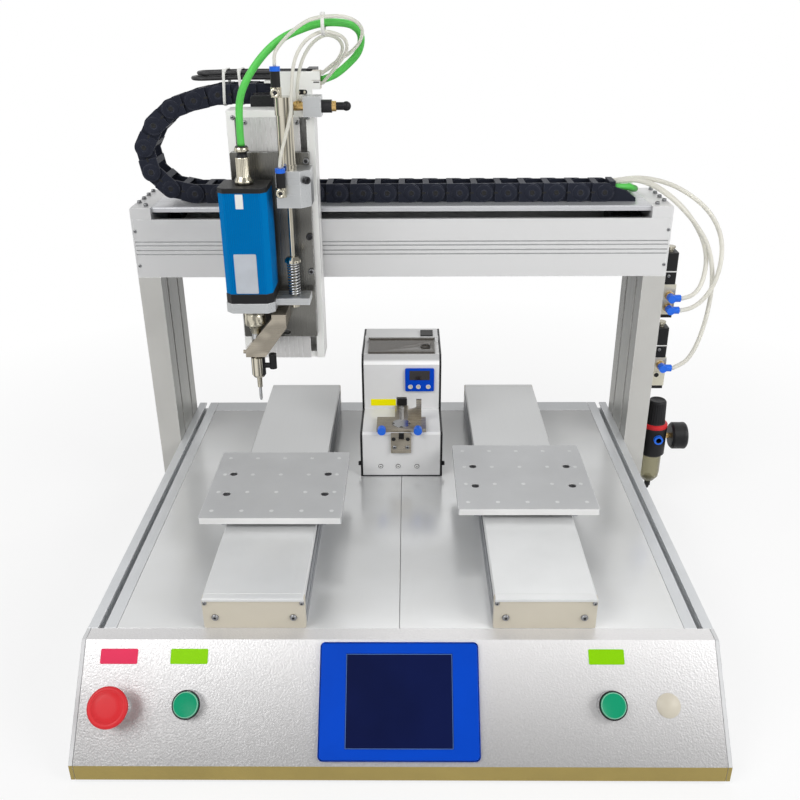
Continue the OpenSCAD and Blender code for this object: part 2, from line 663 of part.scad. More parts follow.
// Closed belt round two pulleys at the origin and at distance l
module belt_loop(l) difference() {
    union() {
        circle(belt_r + belt_t);
        translate([0, l]) circle(belt_r + belt_t);
        translate([-belt_r - belt_t, 0]) square([2 * (belt_r + belt_t), l]);
    }
    circle(belt_r);
    translate([0, l]) circle(belt_r);
    translate([-belt_r, 0]) square([2 * belt_r, l]);
}
module axis_drives() color("#3a3c40") {
    z = mod_floor + belt_up;
    span = mod_y1 - mod_y0 - 2 * pulley_inset;
    y = mod_y1 - pulley_inset;
    sides() {
        translate([belt_x, mod_y0 + pulley_inset, z]) linear_extrude(belt_w) belt_loop(span);
        rod_z(2 * belt_r, mod_floor, z + belt_w, belt_x, mod_y0 + pulley_inset);
        rod_z(2 * belt_r, z - 1, z + belt_w, belt_x, y);
        rod_z(8, under_deck, z - 1, belt_x, y);
        // motor under the deck
        along_z(under_deck - 56, under_deck) translate([belt_x, y]) rounded(56, 56, 5);
    }
    xm = x_motor_x;
    xi = -beam_l / 2 + end_block + belt_r + 4;
    along_y(x_belt_y, x_belt_y + belt_w) translate([xi, x_belt_z]) rotate(-90) belt_loop(xm - xi);
    rod_y(2 * belt_r, x_belt_y - 1, beam_y1 - beam_wall, xi, x_belt_z);
    rod_y(2 * belt_r, x_belt_y - 1, x_belt_y + belt_w, xm, x_belt_z);
    along_y(x_belt_y - 51, x_belt_y - 1) translate([xm, beam_web + x_motor / 2]) rounded(x_motor, x_motor, 4);
}
// Carriage that wraps the rail, clears the belt and reaches round the cover to its tooling plate
module table_carriage(x, y) translate([x, y, 0]) along_y(-carriage_l / 2, carriage_l / 2) {
    w = mod_w / 2 - mod_wall - pass;
    low = mod_floor + 2;
    groove = lin_w / 2 + guide;
    top = rail_top + guide;
    belt_in = belt_x - belt_r - belt_t - pass;
    belt_out = belt_x + belt_r + belt_t + pass;
    belt_top = mod_floor + belt_up + belt_w + guide;
    wing = wing_z + wing_t;
    edge = riser_x + riser_t;
    polygon([[-w, low], [-groove, low], [-groove, top], [groove, top], [groove, low], [belt_in, low],
        [belt_in, belt_top], [belt_out, belt_top], [belt_out, low], [w, low], [w, wing_z], [edge, wing_z],
        [edge, plate_z], [riser_x, plate_z], [riser_x, wing], [-riser_x, wing], [-riser_x, plate_z],
        [-edge, plate_z], [-edge, wing_z], [-w, wing_z]]);
}
module y_left_carriage() color("#8d9196") table_carriage(-y_pitch / 2, left_y);
module y_right_carriage() color("#8d9196") table_carriage(y_pitch / 2, right_y);
bore_x = 118;
bore_y = 48;
bore_shift = -1.5;
module tooling_plate(x, y) translate([x, y, plate_z]) difference() {
    linear_extrude(plate_t) rounded(plate_w, plate_l, 2);
    for (i = [-2:2], j = [-1.5:1:1.5])
        translate([i * grid_x, j * grid_y, -1]) cylinder(d = tap_d, h = plate_t + 2);
    for (i = [-1, 1], j = [-1, 1]) translate([i * bore_x / 2, j * bore_y / 2 + bore_shift, 0]) {
        translate([0, 0, -1]) cylinder(d = 5.5, h = plate_t + 2);
        translate([0, 0, plate_t - 5]) cylinder(d = 9.5, h = 6);
    }
}
module y_left_plate() color("#c3c5c7") tooling_plate(-y_pitch / 2, left_y);
module y_right_plate() color("#c3c5c7") tooling_plate(y_pitch / 2, right_y);

// Gantry
module gantry_columns() color("#dcdedf") for (s = [0, 1]) mirror([s, 0, 0])
    along_z(tray_z, beam_z) difference() {
        rect([col_x, beam_y0], [col_x + col_w, beam_y0 + col_d]);
        for (y = [0.27, 0.73]) {
            translate([col_x, beam_y0 + y * col_d]) rotate(90) tee();
            translate([col_x + col_w, beam_y0 + y * col_d]) rotate(-90) tee();
        }
    }
module x_housing() color("#e4e5e5") along_x(-beam_l / 2 + end_cap, beam_l / 2 - end_cap) difference() {
    union() {
        rect([beam_y0, beam_z], [beam_y1, beam_top]);
        rect([beam_y1 - beam_wall, beam_top], [beam_y1, beam_rim]);
    }
    rect([beam_y0 + beam_wall, beam_web], [beam_y1 - beam_wall, beam_rim + 1]);
    rect([beam_y0 + beam_wall, beam_z + 8], [beam_y1 - beam_wall, beam_web - 8]);
    // decorative grooves along the front face
    for (z = [31.5, 37, 43.5, 48.5]) translate([beam_y0, beam_z + z]) square([2.4, 1.6], center = true);
    for (z = [20, 58]) translate([beam_y1, beam_z + z]) rotate(-90) tee_shallow();
}
module tee_shallow() translate([-slot_w / 2, -2.5]) square([slot_w, 4]);
module x_end_blocks() color("#eceded") {
    back = beam_y1 - beam_wall;
    for (s = [0, 1]) mirror([s, 0, 0]) {
        along_x(beam_l / 2 - end_block, beam_l / 2 - end_cap)
            polygon([[beam_y0, beam_top], [beam_y0, beam_cover], [beam_y1, beam_cover], [beam_y1, beam_rim],
                [back, beam_rim], [back, beam_web], [beam_y0 + beam_wall, beam_web],
                [beam_y0 + beam_wall, beam_top]]);
        along_x(beam_l / 2 - end_cap, beam_l / 2) rect([beam_y0, beam_z], [beam_y1, beam_cover]);
    }
    cable_gland();
}
module cable_gland() {
    r = gland_d / 2;
    along_y(gland_y, gland_y + 12) translate([gland_x, beam_cover]) {
        translate([0, r]) circle(r);
        translate([-r, 0]) square([gland_d, r]);
    }
}

// Cable chain: links with outer cheeks, inner tongues, snap pins and cross bars
link_wall = 2.5;
pin_d = 7;
module chain_side() {
    r = chain_h / 2;
    out = chain_w / 2;
    step = out - link_wall - guide;
    mid = chain_pitch / 2;
    // cheek round the rear pivot
    along_y(out - link_wall, out) difference() {
        union() {
            circle(r);
            translate([0, -r]) square([mid + 1, chain_h]);
        }
        circle(d = pin_d + 2 * fit);
    }
    along_y(step - link_wall, out) translate([mid - 1, -r]) square([2, chain_h]);
    // tongue that lies between the next link's cheeks
    along_y(step - link_wall, step) {
        translate([chain_pitch, 0]) circle(r - guide);
        translate([mid - 1, -r + guide]) square([mid + 1, chain_h - 2 * guide]);
    }
    rod_y(pin_d, step, out, chain_pitch, 0);
}
module chain_link() {
    r = chain_h / 2;
    for (s = [0, 1]) mirror([0, s, 0]) chain_side();
    mid = chain_pitch / 2;
    for (z = [-r, r - 2]) box([mid - 7, -chain_w / 2, z], [mid + 1, chain_w / 2, z + 2]);
}
module cable_chain() color("#24262e") {
    for (i = [0:chain_links - 1])
        translate([pivot(i).x, chain_y, pivot(i).y]) rotate([0, -heading(i), 0]) chain_link();
    // end fitting that anchors the first link on the beam's cover
    translate([chain_end_x, chain_y, chain_z]) {
        low = -chain_h / 2 - guide;
        y = chain_w / 2 - link_wall - guide;
        for (s = [0, 1]) mirror([0, s, 0]) {
            along_y(y - link_wall, y) difference() {
                union() {
                    circle(chain_h / 2 - guide);
                    polygon([[0, low], [0, 9], [comb_x, 6.5], [27, 2.5], [fitting_l, -8], [fitting_l, low]]);
                }
                circle(d = 3);
            }
            rod_y(pin_d, y, y + link_wall, 0, 0);
        }
        box([comb_x - 8, -y + 1, low], [fitting_l, y - 1, low + 2]);
        // comb that grips the hoses
        box([comb_x - 8, -y + 1, low], [comb_x, y - 1, chain_h / 2 + 1.5]);
    }
}

// Lifting head
module x_carriage() color("#c9cbcd") translate([head_x, 0, 0]) along_x(-45, 45) difference() {
    union() {
        rect([hook_y0, beam_z - hook_down], [hook_y0 + hook_t, beam_cover + hook_up]);
        rect([hook_y0, beam_top + pass], [x_belt_y - 3, beam_rim - pass]);
        rect([beam_y0 + beam_wall + 4, beam_web + 4], [x_belt_y - 3, beam_rim - pass]);
        // finger that clamps the belt's upper run
        rect([x_belt_y - 3, x_belt_z + belt_r + belt_t + guide], [x_belt_y + belt_w, beam_rim - pass]);
    }
    translate([x_rail_y, beam_web]) rect([-lin_w / 2 - guide, 0], [lin_w / 2 + guide, lin_h + guide]);
}
module z_housing() color("#e9eaea") translate([head_x, 0, 0]) {
    w = mod_w / 2;
    along_z(z_low, z_top) difference() {
        rect([-w, z_y0], [w, z_y1]);
        rect([-w + z_wall, z_y0 - 1], [w - z_wall, z_y1 - z_web]);
        for (s = [-1, 1]) translate([s * w, z_y0 + z_depth / 2]) square([3, 5], center = true);
    }
    box([-w + z_wall, z_y0, z_top - z_cap_h], [w - z_wall, z_y1 - z_web, z_top]);
    box([-w + z_wall, z_y0 + z_cover_t, z_low], [w - z_wall, z_y1 - z_web, z_low + z_cap_h]);
    along_z(z_low + z_cap_h, z_top - z_cap_h) translate([0, z_y1 - z_web])
        rotate(180) rail_section(z_rail_h);
}
module z_cover() color("#f4f5f5") translate([head_x, 0, 0]) along_z(z_low, z_top - z_cap_h) difference() {
    rect([-z_cover_w / 2, z_y0], [z_cover_w / 2, z_y0 + z_cover_t]);
    for (i = [-4:4]) translate([i * 6, z_y0]) square([1.2, 1], center = true);
}
module z_motor() color("#2b2c30") translate([head_x, 0, 0]) {
    z = z_top + z_motor_up - z_motor_w / 2;
    back = chain_y - chain_w / 2 - 2 * pass;
    for (y = [z_y1, back - 6]) along_y(y, y + 6) translate([0, z]) rounded(z_motor_w, z_motor_w, 4);
    along_y(z_y1 + 6, back - 6) translate([0, z]) rounded(z_motor_w - 3, z_motor_w - 3, 8);
}
module z_bracket() color("#d4d6d7") {
    web_x0 = head_x + 6;
    lip_top = tray_floor + 20;
    foot_x = moving_end.x + chain_h / 2;
    // folded tray that carries the cables from the chain to the clamp
    along_x(web_x0, clamp_x0)
        polygon(bent([[chain_y + chain_w / 2, tray_floor], [z_y0, tray_floor], [z_y0, lip_top]], tray_t));
    along_x(web_x0, clamp_x0) rect([z_y0, z_top], [z_y0 + tray_t, tray_floor]);
    // floor over the chain's end
    box([head_x - 16, chain_y - chain_w / 2, tray_floor],
        [web_x0, chain_y + chain_w / 2, tray_floor + tray_t]);
    // cable clamp of two plates
    for (z = [tray_floor, tray_floor + 10.4])
        box([clamp_x0, z_y0, z], [clamp_x1, z_y0 + 20, z + 10]);
    // plugs that the folded cables end in
    box([plug_x0, chain_y - 18, tray_floor + tray_t], [plug_x0 + 12, chain_y + 18, tray_floor + tray_t + 14]);
    // foot of the chain's moving end
    box([foot_x, chain_y - chain_w / 2 + 4, moving_end.y - 9],
        [foot_x + 8, chain_y + chain_w / 2 - 4, tray_floor]);
}
module vacuum_ejector() color("#cfd0d0") {
    x = head_x + 43;
    y = z_y0 - 12;
    z = z_top + 6;
    box([x, z_y0 - 24, z - 11], [x + 21, z_y0, z + 12]);
    rod_x(10, x - 13, x, y, z);
    rod_z(8, z, z + 6, x - 7, y);
    rod_x(15, x + 21, x + 33, y, z);
    rod_x(12, x + 33, x + 38, y, z);
    rod_x(9, x + 38, x + 50, y, z);
    translate([x + 50, y, z]) sphere(d = 11);
}
slider_up = 44;
slider_l = 150;
module z_slider() color("#7e8287") translate([head_x, 0, 0])
    along_z(head_plate_z + slider_up, head_plate_z + slider_up + slider_l) {
    w = mod_w / 2 - z_wall - pass;
    arm = w - arm_t;
    front = z_y0 + z_cover_t + 3;
    back = z_y1 - z_web - pass;
    groove = lin_w / 2 + guide;
    top = z_y1 - z_web - z_rail_h - guide;
    polygon([[-w, plate_y1], [-arm, plate_y1], [-arm, front], [arm, front], [arm, plate_y1], [w, plate_y1],
        [w, back], [groove, back], [groove, top], [-groove, top], [-groove, back], [-w, back]]);
}
module head_plate() color("#6b6e70") {
    difference() {
        along_y(plate_y0, plate_y1) translate([(plate_x0 + plate_x1) / 2, (head_plate_z + plate_top) / 2])
            rounded(head_plate_w, head_plate_l, 2);
        for (x = [-4, 4]) rod_y(6, plate_y0 - 1, plate_y1 + 1, head_x + x + 4, head_plate_z + 6);
        box([head_x, plate_y0 - 1, head_plate_z + 3], [head_x + 8, plate_y1 + 1, head_plate_z + 9]);
    }
    // rail of the screwdriver's own slide
    along_z(brk_z, brk_z + 150) translate([bit_x, plate_y0]) rotate(180)
        polygon([[-4.5, 0], [4.5, 0], [4.5, slide_h], [-4.5, slide_h]]);
}
nose_d = 14;
module air_cylinder() color("#c8cacc") {
    bore = cyl_d - 5;
    difference() {
        union() {
            // mounting block on the head plate
            along_z(block_z, cyl_z0) difference() {
                rect([cyl_x - 13, cyl_y - 14], [cyl_x + 27, plate_y0]);
                translate([cyl_x + 27, cyl_y - 14]) rotate(45) square(16, center = true);
            }
            rod_z(cyl_d, cyl_z0, cyl_z1, cyl_x, cyl_y);
            rod_z(cyl_d + 2, cyl_z1 - 20, cyl_z1, cyl_x, cyl_y);
            rod_z(cyl_d + 2, cyl_z0, cyl_z0 + 6, cyl_x, cyl_y);
        }
        rod_z(rod_d + 2 * fit, block_z - 1, cyl_z0 + 4, cyl_x, cyl_y);
        rod_z(bore, cyl_z0 + 3, cyl_z1 - 8, cyl_x, cyl_y);
    }
    // speed controllers at both ends
    for (p = [[cyl_x - 7, cyl_y - 7, cyl_z1], [cyl_x - 6, cyl_y - 21, block_z + 15]]) {
        rod_z(12.5, p.z, p.z + 11, p.x, p.y);
        rod_z(11, p.z + 11, p.z + 28, p.x, p.y);
        rod_z(12, p.z + 28, p.z + control_h, p.x, p.y);
    }
    rod_y(8, cyl_y - 21, cyl_y - 13.5, cyl_x - 6, block_z + 20);
}
module nozzle_arm() color("#bfc1c3") {
    foot_x = bit_x + 22;
    foot_z = head_plate_z + 34;
    // foot on the head plate, slanting bar, clamp round the nozzle
    difference() {
        union() {
            along_y(bit_y - 7, bit_y + 7)
                polygon([[bit_x - 14, clip_z], [bit_x + 11, clip_z], [foot_x + 18, foot_z - 6],
                    [foot_x + 18, foot_z + 12], [foot_x + 5, foot_z + 12], [bit_x - 14, clip_z + 9]]);
            box([foot_x, bit_y - 7, foot_z - 6], [foot_x + 18, plate_y0, foot_z + 12]);
        }
        rod_z(nozzle_d + 2 * fit, clip_z - 1, clip_z + 40, bit_x, bit_y);
        box([bit_x - 15, bit_y - 0.6, clip_z - 1], [bit_x, bit_y + 0.6, clip_z + 14]);
    }
    rod_x(5, bit_x - 18, bit_x - 14, bit_y, clip_z + 5);
}
nozzle_d = 12;
module suction_nozzle() color("#b5b7b8") {
    hole = bit_d + 1;
    translate([bit_x, bit_y, 0]) rotate_extrude() polygon([[hole / 2, nozzle_z - 16], [3.2, nozzle_z - 16],
        [3.4, nozzle_z - 1], [7, nozzle_z - 1], [9, nozzle_z + 2], [9, clip_z - 2], [nozzle_d / 2, clip_z],
        [nozzle_d / 2, clip_z + 12], [hole / 2, clip_z + 12]]);
    // vacuum elbow
    difference() {
        rod_x(7, bit_x + 6, bit_x + 19, bit_y, nozzle_z + 14);
        rod_z(17.6, nozzle_z, clip_z, bit_x, bit_y);
    }
    rod_z(9.5, nozzle_z + 10, nozzle_z + 30, bit_x + 19, bit_y);
}

// Screwdriver
module driver_section(w, d, c) polygon([[-w / 2, -d / 2 + c], [-w / 2 + c, -d / 2], [w / 2 - c, -d / 2],
    [w / 2, -d / 2 + c], [w / 2, d / 2], [-w / 2, d / 2]]);
module driver_body() color("#0d6fc0") translate([bit_x, bit_y, body_z])
    linear_extrude(driver_l) difference() {
    driver_section(driver_w - 1, driver_d - 1, 7);
    // ribs down the front and the sides
    for (i = [-9:9]) translate([i * 2.4, -driver_d / 2 + 0.5]) square([0.9, 1.2], center = true);
    for (s = [-1, 1], i = [-5:6])
        translate([s * (driver_w / 2 - 0.5), i * 3.2]) square([1.2, 1.1], center = true);
}
module driver_caps() color("#1b1c1f") translate([bit_x, bit_y, 0]) {
    along_z(brk_z + brk_t, body_z) driver_section(driver_w, driver_d, 7);
    along_z(driver_top - cap_high, driver_top) driver_section(driver_w, driver_d, 7);
}
module driver_connector() color("#b8b09a") translate([bit_x, bit_y, driver_top]) rotate_extrude()
    polygon([[0, 0], [11, 0], [11, 4.5], [8.3, 9], [8.3, 31], [6, 33], [6, 37], [8.4, 38], [8.4, 41.5],
        [6.5, plug_h], [0, plug_h]]);
module driver_bracket() color("#c4c6c8") {
    difference() {
        union() {
            along_z(brk_z, brk_z + brk_t) translate([bit_x, bit_y]) driver_section(driver_w + 2, driver_d, 8);
            along_z(brk_z + brk_t - arm_h, brk_z + brk_t)
                rect([arm_x0 - 2, cyl_y - 16], [arm_x1, cyl_y + 16]);
        }
        rod_z(spindle_d + 2 * guide, brk_z - 1, brk_z + brk_t + 1, bit_x, bit_y);
        rod_z(rod_d + 2 * fit, brk_z, brk_z + brk_t + 1, cyl_x, cyl_y);
    }
    // back plate and slide block
    box([bit_x - 22, driver_y1, brk_z], [bit_x + 22, driver_y1 + back_t, brk_z + 88]);
    along_z(brk_z + 10, brk_z + 70) difference() {
        rect([bit_x - 12, driver_y1 + back_t], [bit_x + 12, plate_y0 - guide]);
        rect([bit_x - 4.5 - fit, plate_y0 - slide_h - fit], [bit_x + 4.5 + fit, plate_y0]);
    }
}
spindle_d = 20;
module cylinder_rod() color("#d9dbdd") translate([cyl_x, cyl_y, 0]) {
    top = cyl_z0 + 12;
    r = rod_d / 2;
    arm_z = brk_z + brk_t - arm_h;
    collar_z = brk_z + 55;
    piston = cyl_d / 2 - 2.5 - fit;
    rotate_extrude()
        polygon([[0, arm_z - 7], [5, arm_z - 7], [5, arm_z], [r, arm_z], [r, collar_z], [10, collar_z],
            [10, collar_z + 3], [6, collar_z + 7], [r, collar_z + 7], [r, cyl_z0 + 4], [piston, cyl_z0 + 4],
            [piston, top], [0, top]]);
}
// Coil of square wire round the rod, as stacked turns
module rod_spring() color("#8f9296") translate([cyl_x, cyl_y, brk_z + brk_t]) {
    turns = 11;
    height = 55 - brk_t;
    wire = 1.6;
    step = (height - wire) / turns;
    for (i = [0:turns]) translate([0, 0, i * step]) rotate_extrude() translate([6, 0]) square(wire);
    for (s = [-1, 1]) box([s * 6.8 - 0.6, -0.6, 0], [s * 6.8 + 0.6, 0.6, height]);
}
module driver_bit() color("#a9abad") translate([bit_x, bit_y, 0]) {
    tip = bit_d / 2;
    r = spindle_d / 2;
    top = brk_z + brk_t - guide;
    rotate_extrude()
        polygon([[0, bit_z], [tip - 0.6, bit_z], [tip, bit_z + 3], [tip, brk_z - 44], [5, brk_z - 42],
            [5, brk_z - 29], [7.5, brk_z - 27], [7.5, brk_z - 12], [r, brk_z - 10], [r, top], [0, top]]);
}

// Screw feeder
module feeder_outline() polygon([[feeder_y0, deck_z], [feeder_y0, step_z - 3], [feeder_y0 + 3, step_z],
    [face_y, step_z], [face_y, feeder_top - 12], [face_y + 9, feeder_top], [feeder_y1, feeder_top],
    [feeder_y1, deck_z]]);
module feeder_case() color("#e2e3e3") difference() {
    w = feeder_w / 2 - side_t;
    union() {
        along_x(-w, w) feeder_outline();
        for (s = [0, 1]) mirror([s, 0, 0])
            box([lid_w / 2 + 1, hinge_y - 4, feeder_top], [lid_w / 2 + 6, hinge_y + 4, feeder_top + 6]);
    }
    // hopper under the lid, screw track through the front face
    box([-lid_w / 2 + 4, lid_y0 + 5, step_z + 40], [lid_w / 2 - 4, lid_y0 + lid_l - 5, feeder_top + 1]);
    box([-7, face_y - 1, step_z + 2], [7, face_y + 14, step_z + 18]);
    rod_x(3 + 2 * fit, -w, w, hinge_y, feeder_top + 3);
}
module feeder_side_panels() color("#1d1e20") {
    for (s = [0, 1]) mirror([s, 0, 0]) along_x(feeder_w / 2 - side_t, feeder_w / 2) feeder_outline();
    // rocker switch on the top
    along_x(feeder_w / 2 - 28, feeder_w / 2 - 10) translate([feeder_y1, feeder_top])
        polygon([[-32, 0], [-32, 1.5], [-23, 2.2], [-14, 3.5], [-14, 0]]);
}
module feeder_lid() color("#5b5148", 0.7) difference() {
    union() {
        box([-lid_w / 2, lid_y0, feeder_top + guide], [lid_w / 2, hinge_y - 3, feeder_top + 3]);
        rod_x(3, -lid_w / 2 - 5, lid_w / 2 + 5, hinge_y, feeder_top + 3);
        box([-lid_w / 2, hinge_y - 4, feeder_top + 1.6], [lid_w / 2, hinge_y, feeder_top + 4.4]);
    }
    // finger dish
    translate([lid_w / 2 - 12, lid_y0 + lid_l / 2 - 2, feeder_top + 3 + 14]) sphere(d = 31);
}
module feeder_dispenser() color("#a7a9ab") {
    z = step_z;
    difference() {
        along_z(z, z + 5) difference() {
            union() {
                rect([-33, bit_y - 5], [33, bit_y + 31]);
                rect([-9, bit_y + 30], [9, face_y]);
            }
            translate([-3, bit_y + 18]) square([6, 60]);
        }
        rod_z(2 * disc_r + 2 * guide, z + 2, z + 6, 0, disc_y);
        rod_z(6 + 2 * fit, z + 0.5, z + 3, 0, disc_y);
    }
    // front guide plate with its notch
    along_y(feeder_y0 - 3, feeder_y0) difference() {
        rect([-14, deck_z + 37], [13, z]);
        rect([-3.5, z - 9], [3.5, z + 1]);
    }
    // sensor bracket
    along_y(bit_y + 24, bit_y + 27)
        polygon([[9, z + 5], [27, z + 5], [27, z + 34], [20, z + 34], [20, z + 22], [9, z + 18]]);
    // thumb knobs
    for (x = [-26, 22]) rod_y(11, bit_y - 13, bit_y - 5, x, z + 4.6);
}
module feeder_disc() color("#8b8e90") translate([0, disc_y, step_z + 0.8]) difference() {
    union() {
        cylinder(d = 6, h = 2);
        translate([0, 0, 1.5]) cylinder(r = disc_r, h = 3);
    }
    // four notches that each take one screw
    for (a = [0:90:270]) rotate(a) translate([0, -disc_r + 1, -1]) cylinder(d = 4, h = 8);
}
module feeder_display() color("#1d56c0") along_y(face_y - 3, face_y) translate([25, feeder_top - 34])
    rounded(40, 34, 2);

// Pneumatic set
module valve_coil(z) {
    y = valve_y + valve_w / 2;
    x = col_out + valve_t / 2;
    along_z(z + 48, z + 92) translate([x, y]) rounded(valve_t - 2, valve_w - 2, 3);
    rod_z(9, z + 92, z + 96, x, y);
    rod_z(13, z + 96, z + 99, x, y);
}
module valve_coils() color("#17181a") for (z = [valve1_z, valve2_z]) valve_coil(z);
module valve_body(z, outlets) {
    box([col_out, valve_y, z + 5], [col_out + valve_t, valve_y + valve_w, z + 48]);
    box([col_out + 1, valve_y + 1, z], [col_out + valve_t - 1, valve_y + valve_w - 1, z + 5]);
    // elbow push-in fittings: brass nut, round body and an arm to the side
    for (h = outlets) {
        rod_y(12.5, valve_y - 5.5, valve_y, port_x, z + h);
        rod_y(11, port_y - 5.5, valve_y - 5.5, port_x, z + h);
        rod_x(10, port_x, port_tip, port_y, z + h);
    }
}
module valve_bodies() color("#c2c4c5") {
    valve_body(valve1_z, valve1_ports);
    valve_body(valve2_z, [valve2_port]);
}
module regulator_body() color("#1e1f22") translate([reg_x, reg_y, reg_z]) {
    r = reg_d / 2;
    difference() {
        union() {
            rotate_extrude()
                polygon([[0, 0], [r - 2, 0], [r, 2], [r, reg_h - 3], [r - 1, reg_h], [0, reg_h]]);
            rod_y(13, -r - 5, -r + 4, 2, reg_h * 0.7);
        }
        rod_y(2 * air_r, -r - 6, -r + 6, 2, reg_h * 0.7);
        translate([0, 0, reg_h - 6]) cylinder(d = knob_stem + 2 * fit, h = 7);
    }
    // bracket to the column
    box([-r - 3, -8, reg_h * 0.2], [-r + 4, 8, reg_h * 0.8]);
}
air_r = 4.05;
knob_stem = 12;
module regulator_bowl() color("#8a8473", 0.6) translate([reg_x, reg_y, 0]) rotate_extrude()
    polygon([[0, reg_z - 55], [4, reg_z - 55], [4, reg_z - 47], [9, reg_z - 45], [14, reg_z - 38],
        [15, reg_z - 30], [15, reg_z], [0, reg_z]]);
module regulator_knob() color("#232427") translate([reg_x, reg_y, reg_z + reg_h]) rotate_extrude()
    polygon([[0, -5.5], [knob_stem / 2, -5.5], [knob_stem / 2, guide], [reg_d / 2, guide], [reg_d / 2, 6],
        [14.5, 7], [14, 12], [13, 41], [11.5, 43], [0, 43]]);
module pressure_gauge() color("#202124") {
    x = reg_x + reg_d / 2;
    z = reg_z + reg_h * 0.64;
    difference() {
        rod_x(8, x - 1, x + 6, reg_y, z);
        rod_z(reg_d, reg_z, reg_z + reg_h, reg_x, reg_y);
    }
    translate([x + 6, reg_y, z]) rotate([0, 90, 0]) rotate_extrude()
        polygon([[0, 0], [gauge_d / 2 - 3, 0], [gauge_d / 2, 3], [gauge_d / 2, 21], [gauge_d / 2 - 2, 23],
            [gauge_d / 2 - 2, 21], [0, 21]]);
}

// Cords
module valve_hoses() color("#e8ebe8", 0.8) {
    for (i = [0:2]) cord(hose_routes[i], hose_ends[i], out_right, out_right, hose_d);
    cord(stub_route, stub_ends, out_right, out_front, green_d);
}
module green_cable() color("#4cbf45") cord(green_route, green_ends, out_up, out_right, green_d);
module loop_tubes() color("#eef0ee", 0.8) for (i = [0:2])
    cord(tube_routes[i], tube_ends[i], out_up, out_right, tube_d, 2, 8);
module black_cables() color("#1a1b1e") for (i = [0:1])
    cord(cable_routes[i], cable_ends[i], out_left, out_left, lead_d, 2, 8);

base_tray();
base_rails();
deck_plates();
front_console();
rubber_feet();
control_electronics();
power_inlet();
hmi_bezel();
hmi_screen();
panel_fittings();
y_housings();
axis_covers();
y_end_plates();
guide_rails();
axis_drives();
gantry_columns();
x_housing();
x_end_blocks();
cable_chain();
valve_coils();
valve_bodies();
regulator_body();
regulator_bowl();
pressure_gauge();
feeder_case();
feeder_side_panels();
feeder_dispenser();
feeder_display();
valve_hoses();
feeder_lid();
feeder_disc();
regulator_knob();
estop_button();
start_button_left();
start_button_right();
y_left_carriage();
y_left_plate();
y_right_carriage();
y_right_plate();
x_carriage();
z_housing();
z_cover();
z_motor();
z_bracket();
vacuum_ejector();
z_slider();
head_plate();
air_cylinder();
nozzle_arm();
suction_nozzle();
driver_body();
driver_caps();
driver_connector();
driver_bracket();
cylinder_rod();
rod_spring();
driver_bit();
green_cable();
loop_tubes();
black_cables();
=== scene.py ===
# %% [markdown]
# A bench-top screw locking machine: two sliding tables, a gantry with an electric screwdriver,
# a cable chain, a screw feeder and a pneumatic set. The solids come from CAD and stay where they are.
# This lesson gives them eased edges and finishes, and adds the small things that CAD leaves out:
# cords, screws, blank plates, ties and a dial. Everything stays in the CAD's own frame; places and sizes of the
# small pieces are in mm, and MM turns them into Blender's metres.

# %% Load the frame
import json
import math
import bpy
import bmesh
from mathutils import Matrix, Vector


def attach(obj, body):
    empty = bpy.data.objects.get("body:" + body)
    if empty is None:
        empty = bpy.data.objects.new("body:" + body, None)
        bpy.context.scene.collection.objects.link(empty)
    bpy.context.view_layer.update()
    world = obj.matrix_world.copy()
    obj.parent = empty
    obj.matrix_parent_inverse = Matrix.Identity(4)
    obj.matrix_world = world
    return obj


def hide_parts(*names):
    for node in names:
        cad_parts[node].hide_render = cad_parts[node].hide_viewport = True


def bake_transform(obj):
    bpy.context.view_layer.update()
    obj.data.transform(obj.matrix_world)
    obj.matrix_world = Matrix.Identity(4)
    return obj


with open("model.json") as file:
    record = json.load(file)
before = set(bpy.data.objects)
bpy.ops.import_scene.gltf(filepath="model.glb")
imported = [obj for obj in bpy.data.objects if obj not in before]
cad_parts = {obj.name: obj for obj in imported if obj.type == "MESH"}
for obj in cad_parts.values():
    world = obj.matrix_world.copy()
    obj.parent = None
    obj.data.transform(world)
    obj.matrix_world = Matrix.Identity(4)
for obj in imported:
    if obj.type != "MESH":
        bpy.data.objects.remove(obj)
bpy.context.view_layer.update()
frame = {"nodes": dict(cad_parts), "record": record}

nodes = frame["nodes"]
record = frame["record"]
body_of_node = {n: b for b, ns in record["behaviour"]["bodies"].items() for n in ns}
MM = 0.001
scene = bpy.context.scene


def put(name, data):
    """A new object in the scene."""
    thing = bpy.data.objects.new(name, data)
    scene.collection.objects.link(thing)
    return thing


# %% [markdown]
# The camera repeats the photograph: a lens of about 40 mm, less than a metre in front of the machine and
# looking down by 25 degrees. Its place was found from edges whose sizes are known, such as the base's width.
# A camera could also be turned by hand until it fits; three direction vectors keep the small roll exact.

# %% Camera
PICTURE_WIDTH, FOCAL_PIXELS, SENSOR = 800, 881.64, 36
yaw, pitch, roll = 0.011, math.radians(25.126), -0.0062
level = Vector((-math.sin(yaw), math.cos(yaw), 0))
ahead = level * math.cos(pitch) - Vector((0, 0, math.sin(pitch)))
right = Vector((math.cos(yaw), math.sin(yaw), 0))
above = right.cross(ahead)
right, above = right * math.cos(roll) + above * math.sin(roll), above * math.cos(roll) - right * math.sin(roll)
lens = bpy.data.cameras.new("photo_lens")
lens.sensor_fit = "HORIZONTAL"
lens.sensor_width = SENSOR
lens.lens = FOCAL_PIXELS / PICTURE_WIDTH * SENSOR
camera = put("camera", lens)
camera.matrix_world = Matrix((right, above, -ahead)).transposed().to_4x4()
camera.location = (0.010, -0.953, 0.7132)
scene.camera = camera
print("lens", round(lens.lens, 2), "mm")
